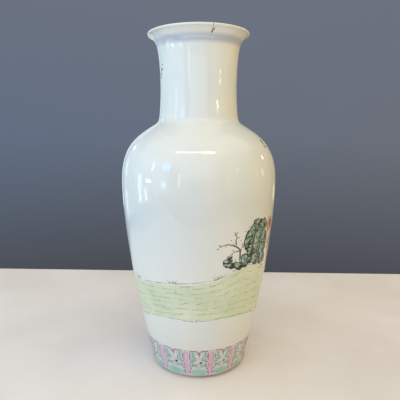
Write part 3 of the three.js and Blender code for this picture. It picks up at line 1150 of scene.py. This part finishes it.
@dataclass
class Shrub:
    """The bare shrub that leans out from behind the rock: arching stems, each with twigs by turns on either
    side, and a bud on every tip. A stem is its width and its points."""

    chart: Chart
    seed: int = 3
    stems: tuple[tuple[float, tuple[Point, ...]], ...] = (
        (2.6, ((31, 168), (30.7, 178), (29.8, 184.6), (25, 190), (19.4, 192.4), (15.4, 190.2), (13.2, 187.4))),
        (1.9, ((27, 189.6), (26.4, 196), (27, 201), (25.4, 206))),
        (1.6, ((30.8, 181), (28, 182.6), (24, 180), (20.6, 174.4))),
        (1.5, ((30.7, 179), (31.6, 186), (33.6, 191))),
    )
    twig_stations: tuple[int, ...] = (11, 15, 19)
    twig_length: float = 5.6
    twig_shortening: float = 0.9
    dots: tuple[Point, ...] = (
        (22.8, 197.5), (30.4, 195.2), (27, 171.5), (24, 170.5), (27.4, 168.8), (33.8, 206), (37.2, 211),
    )

    def build(self) -> list[Piece]:
        """Builds the stems and their twigs. A twig leaves its stem at a set share of the way, turned off
        its line, and shortens towards the tip.

        Returns:
            The piece.
        """
        rng = np.random.default_rng(self.seed)
        skin = Skin(self.chart)
        tips = []
        share = np.linspace(0, 1, 8)
        for width, points in self.stems:
            path = through(points, 24)
            skin.strokes(path[None], width, Brush.TAPER, raised=0.12, tone=0.8, base=0.02)
            for turn, index in enumerate(self.twig_stations):
                round_mm = self.chart.per_degree(path[index, 1])
                heading = (path[index + 1] - path[index]) * [round_mm, 1]
                angle = math.atan2(heading[1], heading[0]) + (1 if turn % 2 else -1) * rng.uniform(0.7, 1.1)
                long = (self.twig_length - self.twig_shortening * turn) * rng.uniform(0.7, 1.1) / len(share)
                bend = angle + 0.5 * share * rng.normal()
                run = pair(np.cumsum(np.cos(bend)) / round_mm, np.cumsum(np.sin(bend))) * long
                twig = path[index] + run - run[0]
                skin.strokes(twig[None], width * 0.5, Brush.TAPER, raised=0.08, tone=0.7, base=0.02)
                tips.append(twig[-1])
            tips.append(path[-1])
        spots = np.array(tips + list(self.dots))
        run = np.linspace(-0.5, 0.5, 6)[None, :]
        slope = rng.uniform(-1.4, 1.4, (len(spots), 1))
        buds = pair(spots[:, :1] + run * 1.2, spots[:, 1:] + run * slope)
        skin.strokes(buds, rng.uniform(0.9, 1.7, len(spots)), Brush.BLOB, raised=0.1, tone=0.9, base=0.02)
        return [skin.finish("shrub_branches", TWIG_INK)]


@dataclass
class BlossomTree:
    """A flowering tree behind the rock, which climbs the right-hand side and leans back over the shoulder,
    with coral reeds at its foot."""

    chart: Chart
    seed: int = 23
    trunk_width: float = 4.6
    limb_width: float = 2.0
    trunk: tuple[Point, ...] = (
        (64, 172), (69, 186), (76, 200), (86, 216), (94, 234), (97, 256), (92, 278), (82, 296), (72, 308),
    )
    limbs: tuple[tuple[Point, ...], ...] = (
        ((76, 200), (84, 204), (94, 202), (106, 207)),
        ((86, 216), (97, 222), (110, 224), (124, 232)),
        ((95, 240), (106, 250), (118, 256), (132, 258)),
        ((96, 262), (106, 274), (116, 283), (124, 290)),
        ((91, 280), (98, 292), (104, 302)),
    )
    crown_tip: tuple[Point, ...] = ((66.8, 313), (65.8, 309), (65.2, 304.5))
    leaf: Point = (6.0, 2.2)
    tip_leaf: Point = (3.8, 1.5)
    petals: int = 5
    reeds: int = 30
    fallen: int = 12

    def build(self) -> list[Piece]:
        """Builds the wood, the leaves and the blossom.

        Returns:
            The pieces.
        """
        rng = np.random.default_rng(self.seed)
        wood, leaves, petals, twigs = (Skin(self.chart) for _ in range(4))
        trunk = through(self.trunk, 60)
        wood.strokes(trunk[None], self.trunk_width, Brush.TAPER, raised=0.16, tone=0.5, base=0.05)
        for limb in self.limbs:
            wood.strokes(through(limb, 24)[None], self.limb_width, Brush.TAPER, raised=0.12, tone=0.6, base=0.06)
        spots = np.vstack([through(limb, 14)[3:] for limb in self.limbs])
        crown = through(self.trunk[-3:], 16)[4:11]
        self.scatter(leaves, np.repeat(np.vstack([spots, crown]), 3, axis=0), rng, *self.leaf)
        self.scatter(leaves, np.repeat(through(self.crown_tip, 9), 2, axis=0), rng, *self.tip_leaf)
        self.flowers(petals, spots + rng.normal(0, 1.6, spots.shape), rng)
        self.clump(petals, twigs, rng)
        return [
            wood.finish("tree_wood", BARK),
            leaves.finish("tree_leaves", LEAF_GREEN),
            petals.finish("tree_blossom", CORAL),
            twigs.finish("tree_twigs", TWIG_INK),
        ]

    def scatter(self, skin: Skin, spots: Array, rng: Draws, long: float, wide: float) -> None:
        """Leaves that spring from spots in all directions, each a short bowed stroke.

        Args:
            skin: Where they go.
            spots: Places of (angle, height).
            rng: The tree's random draws.
            long, wide: A leaf's full size.
        """
        count = len(spots)
        heading = rng.uniform(0, TURN, (count, 1))
        share = np.linspace(0.15, 1, 7)[None, :]
        reach = share * long * rng.uniform(0.6, 1.1, (count, 1))
        bend = heading + rng.normal(0, 0.4, (count, 1)) * share
        across = spots[:, :1] + reach * np.cos(bend) / self.chart.per_degree(spots[:, 1:])
        paths = pair(across, spots[:, 1:] + reach * np.sin(bend))
        skin.strokes(paths, wide * rng.uniform(0.7, 1.1, count), Brush.LEAF, tone=rng.uniform(0, 1, count), base=0.08)

    def flowers(self, skin: Skin, spots: Array, rng: Draws) -> None:
        """Petals round each spot, evenly turned.

        Args:
            skin: Where they go.
            spots: Places of (angle, height).
            rng: The tree's random draws.
        """
        heading = rng.uniform(0, TURN, (len(spots), 1)) + np.arange(self.petals) * TURN / self.petals
        share = np.linspace(0.1, 1, 6)
        reach = share * rng.uniform(2.4, 3.6, (len(spots), 1, 1))
        height = spots[:, 1][:, None, None] + reach * np.sin(heading)[..., None]
        across = spots[:, 0][:, None, None] + reach * np.cos(heading)[..., None] / self.chart.per_degree(height)
        paths = pair(across, height).reshape(-1, 6, 2)
        skin.strokes(paths, 2.6, Brush.BLOB, raised=0.12, tone=rng.uniform(0, 1, len(paths)), base=0.1)

    def clump(self, petals: Skin, twigs: Skin, rng: Draws) -> None:
        """Upright coral reeds and twigs behind the rock's shoulder, with fallen petals lower down. A row is
        where it goes, how many, and the ranges of left, foot, height and width.

        Args:
            petals: Where the reeds and petals go.
            twigs: Where the twigs go.
            rng: The tree's random draws.
        """
        share = np.linspace(0, 1, 8)[None, :]
        for skin, count, lefts, feet, talls, widths in (
            (petals, self.reeds, (60.5, 70), (197, 209), (5, 13), (0.7, 1.5)),
            (petals, self.fallen, (55.5, 62.5), (178, 187), (3, 7), (1.3, 2.3)),
            (twigs, 14, (60, 67), (194, 208), (6, 16), (0.5, 1.0)),
            (twigs, 9, (55, 59), (172, 186), (5, 14), (0.7, 1.5)),
            (twigs, 3, (58.5, 60.5), (146, 152), (5, 8), (0.8, 1.4)),
        ):
            foot = pair(rng.uniform(*lefts, count), rng.uniform(*feet, count))
            tall, lean = rng.uniform(*talls, (count, 1)), rng.normal(0, 1.4, (count, 1))
            paths = pair(foot[:, :1] + lean * share**1.7, foot[:, 1:] + tall * share)
            wide, tone = rng.uniform(*widths, count), rng.uniform(0, 0.9, count)
            skin.strokes(paths, wide, Brush.LEAF, raised=0.1, tone=tone, base=0.04)


def mirrored(*lines: tuple) -> list[tuple]:
    """Strokes of a panel, each with its mirror image: the places across are the first thing in a stroke."""
    return [(side * across, *rest) for across, *rest in lines for side in (-1.0, 1.0)]


@dataclass
class LappetBand:
    """The border above the foot: upright turquoise panels between pink columns.

    A place on a panel is how far across it is, -1 to 1, and its share of the height, 0 at the foot.
    """

    chart: Chart
    panels: int = 14
    first: float = 0.2
    top: float = 44.6
    bottom: float = 6.2
    half_top: float = 9.8
    half_bottom: float = 10.5
    notch: float = 2.6
    waist: float = 0.56
    step: float = 0.25
    stray: float = 4.6
    stray_at: float = -42.0
    stray_width: float = 17.0

    def centres(self) -> Array:
        """Middle of each panel, in degrees."""
        return self.first + np.arange(self.panels) * 360.0 / self.panels

    def drawn(self, angle: Array) -> Array:
        """Angles as the brush set them: the panels left of the middle stray from even spacing."""
        return angle - self.stray * np.exp(-(((wrapped(angle) - self.stray_at) / self.stray_width) ** 2))

    def half(self, share: Array) -> Array:
        """Half width in degrees: a straight taper, nipped in at the waist and above the base leaf."""
        nips = 1.4 * np.exp(-(((share - self.waist) / 0.035) ** 2)) + np.exp(-(((share - self.step) / 0.03) ** 2))
        return self.half_bottom + (self.half_top - self.half_bottom) * share - nips

    def level(self, share: Array, across: Array) -> Array:
        """Height in millimetres: the upper edge dips to a notch in the middle and to the corners."""
        dip = self.notch * np.exp(-((across / 0.22) ** 2)) + 0.9 * np.abs(across) ** 6
        return self.bottom + share * (self.top - self.bottom) - dip * share**3

    def draw(self, name: str, finish: Finish, raised: float, base: float, lines: list[tuple]) -> Piece:
        """Strokes repeated on every panel, each with a small drift of its own.

        Args:
            name, finish: The piece's name and finish.
            raised, base: The strokes' crown and the lift they start from.
            lines: For each stroke its places across, its shares up, its width, brush and tone.

        Returns:
            The piece.
        """
        skin = Skin(self.chart)
        drift = np.random.default_rng(len(name))
        for across, share, width, brush, tone in lines:
            angle = self.centres()[:, None] + across * self.half(share)
            height = np.broadcast_to(self.level(share, across), angle.shape)
            sway = drift.normal(0, 0.18, (2, self.panels, 1))
            wide = width * drift.uniform(0.85, 1.15, self.panels)
            paths = pair(self.drawn(angle) + sway[0], height + sway[1])
            skin.strokes(paths, wide, brush, raised=raised, tone=tone, base=base)
        return skin.finish(name, finish)

    def films(self, name: str, finish: Finish, across: Array, share: Array, base: float) -> Piece:
        """The same film on every panel, its tint drifting by a sine.

        Args:
            name, finish: The piece's name and finish.
            across, share: The film's grid of places on one panel.
            base: Lift of the colour under it.

        Returns:
            The piece.
        """
        skin = Skin(self.chart)
        for turn, centre in enumerate(self.centres()):
            tone = 0.45 + 0.3 * np.sin(3 * across + 5 * share + turn)
            skin.film(self.drawn(centre + across * self.half(share)), self.level(share, across), tone=tone, base=base)
        return skin.finish(name, finish)

    def build(self) -> list[Piece]:
        """Builds the fields, the leaves, the columns and every line.

        Returns:
            The pieces.
        """
        line, leaf, taper, blob = Brush.LINE, Brush.LEAF, Brush.TAPER, Brush.BLOB
        field_grid = np.meshgrid(np.linspace(-1, 1, 17), np.linspace(0, 1, 25))
        across, up = np.meshgrid(np.linspace(-0.8, 0.8, 17), np.linspace(-1, 1, 9))
        oval = 0.12 + 0.095 * up * np.sqrt(np.clip(1 - (across / 0.82) ** 4, 0, 1))
        s, long, fine = np.linspace(0.0, 1.0, 12), np.linspace(0.0, 1.0, 26), np.linspace(-0.5, 0.5, 6)
        arms = mirrored(
            (0.66 - 0.06 * s, 0.95 - 0.24 * s, 5.6, line, 0.6),
            (0.84 - 0.62 * s, 0.66 - 0.08 * s, 4.4, leaf, 0.8),
            (0.72 - 0.1 * s, 0.5 - 0.18 * s, 5.0, line, 0.7),
            (0.1 + 0.5 * s, 0.33 + 0.02 * np.sin(s * 3), 3.4, leaf, 0.6),
            (0.9 - 0.1 * s, 0.16 - 0.1 * s, 3.0, leaf, 0.9),
        )
        petals = mirrored(
            (0.14 + 0.2 * s, 0.84 - 0.12 * s, 2.6, leaf, 0.4),
            (0.3 + 0.55 * s, 0.265 + 0.01 * np.sin(s * 3), 1.6, leaf, 0.1),
        ) + [(-0.34 + 0.34 * s, 0.5 + 0.03 * np.sin(s * 3), 4.0, blob, 0.5)]
        frames = mirrored((1.0 + 0 * long, long, 0.95, line, 0.6)) + [
            (2 * long - 1, 1.0 + 0 * long, 1.4, line, 0.8),
            (0 * s, 1.0 - 0.2 * s, 4.4, taper, 0.7),
            (-0.3 + 0.3 * s, 0.46 + 0.01 * s, 1.8, leaf, 0.2),
            (0.7 + 0.2 * s, 0.44 - 0.16 * s, 2.2, leaf, 0.4),
            (-0.72 - 0.18 * s, 0.4 - 0.12 * s, 1.6, leaf, 0.3),
        ]
        dark = mirrored(
            (0.84 + fine * 0.3, self.waist + 0 * fine, 1.5, leaf, 0.8),
            (0.93 + fine * 0.2, self.step + 0 * fine, 1.1, leaf, 0.7),
            (0.9 + 0.02 * np.sin(s * 6), 0.9 - 0.24 * s, 0.8, leaf, 0.3),
            (0.4 + fine * 0.1, 0.7 + fine * 0.16, 1.0, leaf, 0.4),
            (0.4 + fine * 0.6, 0.4 + fine * 0.03, 0.8, leaf, 0.3),
        ) + [(0.2 + fine * 0.3, 0.5 + fine * 0.02, 3.0, blob, 0.9)]
        dabs = [
            (0.02 + 0.02 * fine, 0.37 + 0.1 * fine, 1.8, blob, 0.3),
            (-0.02 + 0 * fine, 0.64 + 0.1 * fine, 1.2, leaf, 0.1),
        ]
        return [
            self.films("lappet_fields", FIELD, *field_grid, 0.0),
            self.films("lappet_bases", BASE_GREEN, across, oval, 0.05),
            self.draw("lappet_arms", TURQUOISE, 0.07, 0.04, arms),
            self.draw("lappet_petals", PETAL, 0.09, 0.06, petals),
            self.columns(),
            self.draw("lappet_frames", MAGENTA, 0.1, 0.05, frames),
            self.column_lines(),
            self.draw("lappet_dark_marks", DARK_LINE, 0.12, 0.08, dark),
            self.draw("lappet_dabs", GOLD_DAB, 0.12, 0.1, dabs),
            self.band_lines(),
        ]

    def columns(self) -> Piece:
        """The pink columns between the panels, a little wider than the gaps so that the frames cover their
        edges.

        Returns:
            The piece.
        """
        skin = Skin(self.chart)
        across, share = np.meshgrid(np.linspace(-1, 1, 9), np.linspace(0, 1, 21))
        gap = 180.0 / self.panels
        half = gap - self.half(share) - 0.2
        height = self.bottom - 0.4 + share * (self.top + 0.2 - self.bottom)
        for centre in self.centres() + gap:
            skin.film(self.drawn(centre + across * half), height, tone=0.15 + 0.4 * np.abs(across))
        return skin.finish("lappet_columns", PINK)

    def column_lines(self) -> Piece:
        """Three lilac lines down each column, the middle one faint.

        Returns:
            The piece.
        """
        skin = Skin(self.chart)
        share = np.linspace(0.0, 1.0, 12)
        gap = 180.0 / self.panels
        for offset, width in ((-1.3, 0.8), (-0.2, 0.5), (0.9, 0.9)):
            angle = (self.centres() + gap + offset)[:, None] + 0.2 * np.sin(share * 9 + offset)
            height = np.broadcast_to(self.bottom + share * (self.top - self.bottom), angle.shape)
            skin.strokes(pair(self.drawn(angle), height), width, Brush.LINE, raised=0.06, base=0.05)
        return skin.finish("lappet_column_lines", LILAC)

    def band_lines(self) -> Piece:
        """The line drawn round the heel under the band, and the finer one over it. Each wanders by two
        sines and is tinted by two more.

        Returns:
            The piece.
        """
        skin = Skin(self.chart)
        angle = np.linspace(-180.0, 180.0, 240, endpoint=False)[None, :]
        turn = np.radians(angle)
        wander = 0.2 * np.sin(turn * 5) + 0.1 * np.sin(turn * 13)
        tone = 0.5 + 0.5 * np.sin(np.radians(angle * 3 + 40)) * np.sin(turn * 7)
        for height, half in ((4.2, 0.35), (self.top + 0.5, 0.3)):
            rise = np.linspace(-half, half, 5)[:, None]
            skin.film(angle, height + rise + wander, raised=0.07, tone=tone, wrap=True)
        return skin.finish("band_lines", FOOT_LINE)


@dataclass
class NeckSprig:
    """A small sprig on the side of the neck."""

    chart: Chart
    stalk: tuple[Point, ...] = ((-80.0, 394.0), (-71.5, 398.5), (-63.0, 408.0))
    stalk_width: float = 2.0
    leaf_width: float = 3.8

    def build(self) -> list[Piece]:
        """Builds the stalk and its leaves, which spring from it by turns on either side.

        Returns:
            The piece.
        """
        skin = Skin(self.chart)
        stalk = through(self.stalk, 14)
        skin.strokes(stalk[None], self.stalk_width, Brush.TAPER, tone=0.8)
        base = stalk[3::2]
        share = np.linspace(0, 1, 7)[None, :]
        side = np.where(np.arange(len(base)) % 2 == 0, 1.0, -1.0)[:, None]
        across = base[:, :1] + side * share * 2.6
        up = base[:, 1:] - side * share * 2.4 - 0.8 * share**2
        skin.strokes(pair(across, up), self.leaf_width, Brush.LEAF, tone=1.0)
        return [skin.finish("neck_sprig", LEAF_GREEN)]


@dataclass
class RimFlaw:
    """A hairline across the lip and the stain below it. A dab is its shift in degrees, its foot and head, its
    width and its tint."""

    chart: Chart
    angle: float = 16.0
    hairline: tuple[Point, ...] = ((-0.2, 449.6), (-0.5, 448.0), (-0.4, 446.4), (-0.8, 444.6))
    dabs: tuple[tuple[float, float, float, float, float], ...] = (
        (0.2, 439.8, 445.4, 2.8, 1.0), (1.7, 441.8, 446.0, 2.4, 0.7), (-0.8, 439.2, 442.4, 1.6, 0.2),
    )

    def build(self) -> list[Piece]:
        """Builds both marks: the hairline, and three upright dabs that run together.

        Returns:
            The piece.
        """
        skin = Skin(self.chart, sink=0.02)
        line = through(np.array(self.hairline) + [self.angle, 0.0], 14)
        skin.strokes(line[None], 0.9, Brush.LEAF, raised=0.03, tone=0.9)
        share = np.linspace(0, 1, 8)
        for shift, low, high, width, tone in self.dabs:
            dab = pair(self.angle + shift + 0.3 * share, high + (low - high) * share)
            skin.strokes(dab[None], width, Brush.LEAF, raised=0.03, tone=tone)
        return [skin.finish("rim_flaw", STAIN)]


# The studio


@dataclass(frozen=True)
class Lamp:
    """A soft rectangular light that faces the vase, at a direction seen from it, with its apparent size in
    degrees, its brightness, its colour, its distance in metres, the angle it is turned in its own plane and
    the height that it faces."""

    name: str
    azimuth: float
    elevation: float
    wide: float
    tall: float
    bright: float
    colour: Colour
    distance: float = 2.0
    roll: float = 0.0
    middle: float = 0.28

    def light(self) -> None:
        """Puts the light in the scene. Its power is brightness times area times pi."""
        turn, rise = math.radians(self.azimuth), math.radians(self.elevation)
        back = Vector((math.sin(turn) * math.cos(rise), -math.cos(turn) * math.cos(rise), math.sin(rise)))
        data = bpy.data.lights.new(self.name, "AREA")
        data.shape = "RECTANGLE"
        data.size, data.size_y = (2 * self.distance * math.tan(math.radians(a) / 2) for a in (self.wide, self.tall))
        data.energy = self.bright * data.size * data.size_y * math.pi
        data.color = self.colour
        lamp = bpy.data.objects.new(self.name, data)
        bpy.context.scene.collection.objects.link(lamp)
        facing = (-back).to_track_quat("-Z", "Y").to_matrix().to_4x4()
        place = Matrix.Translation(Vector((0.0, 0.0, self.middle)) + back * self.distance)
        lamp.matrix_world = place @ facing @ Matrix.Rotation(math.radians(self.roll), 4, "Z")
        lamp.visible_camera = False


@dataclass
class Studio:
    """The table, the lights and the camera. Lengths here are metres."""

    camera_place: tuple[float, float, float] = (0.0017, -0.5733, 0.3274)
    tilt_down: float = 9.6
    roll: float = -0.03
    lens: float = 37.485
    sensor: float = 36.0
    table_half_width: float = 0.64
    table_back: float = 0.371
    table_front: float = -0.62
    table_turn: float = -2.5
    table_round: float = 0.012
    table_drop: float = 0.05
    table_under: float = 0.0002
    corner_power: float = 0.12
    wall_low: Colour = srgb(74, 76, 82)
    wall_left: Colour = srgb(98, 111, 130)
    wall_right: Colour = srgb(107, 112, 122)
    wall_high: Colour = srgb(108, 115, 129)
    wall_warm: Colour = srgb(96, 88, 62)
    lamps: tuple[Lamp, ...] = (
        Lamp("window_near", -56, 12, 28, 44, 1.42, srgb(194, 223, 255), distance=2.6),
        Lamp("window_far", -88, 10, 34, 48, 1.08, srgb(218, 244, 255), distance=2.6),
        Lamp("side_left", -125, 6, 36, 44, 0.62, srgb(218, 246, 255), distance=2.6),
        Lamp("behind_left", -160, 6, 22, 36, 0.68, srgb(238, 248, 255), distance=2.6),
        Lamp("room_right", 52, 10, 28, 40, 0.86, srgb(255, 222, 130), distance=2.6),
        Lamp("side_right", 82, 10, 30, 40, 0.8, srgb(255, 196, 62), distance=2.6),
        Lamp("corner_right", 115, 8, 32, 36, 0.42, srgb(255, 184, 40), distance=2.6),
        Lamp("behind_right", 148, 6, 26, 36, 0.2, srgb(255, 210, 90), distance=2.6),
        Lamp("floor_right", 118, -24, 60, 28, 0.12, srgb(255, 156, 73), distance=2.4),
        Lamp("floor_front", 0, -31, 80, 14, 2.8, srgb(255, 250, 242), distance=2.6),
        Lamp("floor_left", -80, -24, 60, 20, 0.2, srgb(222, 240, 255), distance=2.5),
        Lamp("front_low", 0, -10, 50, 20, 0.25, srgb(246, 251, 255), distance=2.6),
        Lamp("front_high", 0, 18, 50, 30, 1.05, srgb(246, 246, 255), distance=2.6),
        Lamp("ceiling_front", 0, 48, 70, 28, 0.8, srgb(255, 251, 234), distance=2.6),
        Lamp("ceiling_left", -85, 52, 50, 34, 0.71, srgb(255, 240, 222), distance=2.6),
        Lamp("ceiling_right", 85, 52, 50, 34, 1.12, srgb(255, 244, 205), distance=2.6),
        Lamp("behind_high", 180, 42, 90, 30, 0.05, srgb(255, 252, 244), distance=2.6),
        Lamp("ceiling", 0, 84, 44, 44, 0.68, srgb(255, 243, 225), distance=2.6),
        Lamp("bar_left", -32.8, 50.9, 17, 3.4, 7.0, srgb(255, 255, 252), roll=12),
        Lamp("bar_middle", -6.2, 53.1, 17, 3.4, 7.5, srgb(255, 255, 252), roll=3),
        Lamp("bar_right", 20.4, 51.4, 16, 5.5, 8.5, srgb(255, 255, 248), roll=-9),
        Lamp("blind", -47, 18, 12.5, 10.5, 6.0, srgb(0, 170, 255)),
        Lamp("gap", -92.2, -5.2, 3.6, 15, 4.3, srgb(244, 255, 252)),
        Lamp("gap_side", -88, -4, 2, 17, 2.6, srgb(237, 255, 255)),
        Lamp("post", -79.4, -10, 3.4, 6, 5.2, srgb(251, 255, 255)),
        Lamp("sill", -74, -1, 9, 3.2, 7.5, srgb(252, 255, 255)),
        Lamp("frame", -68.6, 15.4, 2.5, 12, 5.5, srgb(231, 255, 251)),
        Lamp("pane", -49, -2.7, 7, 6, 3.6, srgb(205, 240, 255)),
        Lamp("door", -27, 3, 2.6, 14, 4.8, srgb(238, 238, 255)),
        Lamp("edge_left", -130.5, 2, 2.6, 10, 2.6, srgb(237, 246, 255)),
        Lamp("edge_left_low", -130, -12, 2.6, 6, 2.0, srgb(237, 246, 255)),
        Lamp("edge_left_high", -135, 19, 5, 5, 3.2, srgb(247, 255, 255)),
        Lamp("lamp_one", 56, 12.6, 4, 1.5, 16, srgb(255, 251, 228)),
        Lamp("lamp_two", 65, 8.2, 2.6, 1.2, 12, srgb(255, 248, 226)),
        Lamp("lamp_three", 114.5, 15.5, 5, 3.6, 8, srgb(255, 243, 210), roll=40),
        Lamp("shelf", 104, 3, 6, 7, 2.2, srgb(255, 231, 170)),
        Lamp("shelf_near", 89.5, 4, 2.5, 6, 2.6, srgb(255, 240, 188)),
        Lamp("edge_right", 144, -9.6, 4, 3.5, 1.6, srgb(255, 240, 207)),
    )

    def build(self) -> None:
        """Sets everything up."""
        self.table()
        self.world()
        for lamp in self.lamps:
            lamp.light()
        self.camera()

    def table(self) -> None:
        """The clothed table top: a rounded rectangle drawn in by the rounding at its edge, whose rings step
        from the middle out, over a quarter round and down the sides."""
        around = 160
        turn = np.arange(around) * (TURN / around)
        half = np.array([self.table_half_width, (self.table_back - self.table_front) / 2])
        square = pair(np.cos(turn), np.sin(turn))
        square = np.sign(square) * np.abs(square) ** self.corner_power
        bend = np.linspace(0, math.pi / 2, 7)
        flat = (0.05, 0.3, 0.6, 0.85)
        inset = [*(self.table_round * (1 - np.sin(bend))), 0.0]
        level = [*([0.0] * len(flat)), *(self.table_round * (np.cos(bend) - 1)), -self.table_drop]
        rings = [half * square * share for share in flat] + [(half - gap) * square for gap in inset]
        lean = math.radians(self.table_turn)
        spin = np.array([[math.cos(lean), math.sin(lean)], [-math.sin(lean), math.cos(lean)]])
        plan = (np.stack(rings) + [0.0, (self.table_back + self.table_front) / 2]) @ spin
        height = np.broadcast_to(np.array(level)[:, None, None] - self.table_under, (*plan.shape[:2], 1))
        points = np.concatenate([plan, height], axis=-1).reshape(-1, 3)
        faces = grid_faces(len(rings), around, False, True)[:, ::-1].tolist()
        mesh = bpy.data.meshes.new("table")
        mesh.from_pydata(points.tolist(), [], [*faces, tuple(range(around))])
        mesh.polygons.foreach_set("use_smooth", np.ones(len(mesh.polygons), bool))
        mesh.update()
        mesh.materials.append(Cloth("table_cloth").material())
        table = bpy.data.objects.new("table", mesh)
        bpy.context.scene.collection.objects.link(table)

    def world(self) -> None:
        """A plain grey-blue wall, darker towards the ground and warm on the right, out of the picture."""
        world = bpy.data.worlds.new("room")
        world.use_nodes = True
        nodes = Nodes(world.node_tree)
        x, y, z = nodes.add("SeparateXYZ", {0: nodes.add("TexCoord", {})["Generated"]})
        middle = nodes.mixed(nodes.mapped(x, -0.4, 0.4), self.wall_left, self.wall_right)
        below = nodes.mixed(nodes.mapped(z, -0.33, -0.02), self.wall_low, middle)
        wall = nodes.mixed(nodes.mapped(z, -0.02, 0.3), below, self.wall_high)
        beside = nodes.times(nodes.mapped(x, 0.1, 0.6), nodes.mapped(y, 0.75, 0.35))
        background = nodes.tree.nodes["Background"].inputs["Color"]
        nodes.feed(nodes.mixed(beside, wall, self.wall_warm), background)
        bpy.context.scene.world = world

    def camera(self) -> None:
        """The camera, at the photograph's height, distance and tilt, and plain colours."""
        data = bpy.data.cameras.new("camera")
        data.sensor_width, data.lens = self.sensor, self.lens
        camera = bpy.data.objects.new("camera", data)
        bpy.context.scene.collection.objects.link(camera)
        tilt = Matrix.Rotation(math.radians(90.0 - self.tilt_down), 4, "X")
        roll = Matrix.Rotation(math.radians(self.roll), 4, "Z")
        camera.matrix_world = Matrix.Translation(self.camera_place) @ tilt @ roll
        bpy.context.scene.camera = camera
        bpy.context.scene.view_settings.view_transform = "Standard"


def packed_outline() -> Outline:
    """The outline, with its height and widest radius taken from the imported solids.

    Returns:
        The outline.
    """
    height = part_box("neck_and_lip")[1].z / MM
    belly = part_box("upper_body")[1].x / MM
    sizes = Outline()
    return Outline(height=min(sizes.height, height), belly=(min(sizes.belly[0], belly), sizes.belly[1]))


def main() -> None:
    """Builds the vase from the glaze outwards, then the studio."""
    logging.basicConfig(level=logging.INFO, format="%(name)s: %(message)s")
    chart = Chart(packed_outline())
    for part in (GlazedBody, Meadow, Rock, Shrub, BlossomTree, LappetBand, NeckSprig, RimFlaw):
        pieces = part(chart).build()
        LOG.info("%s made: %s", part.__name__, ", ".join(piece.name for piece in pieces))
    Studio().build()
    bpy.context.view_layer.update()


if __name__ == "__main__":
    main()
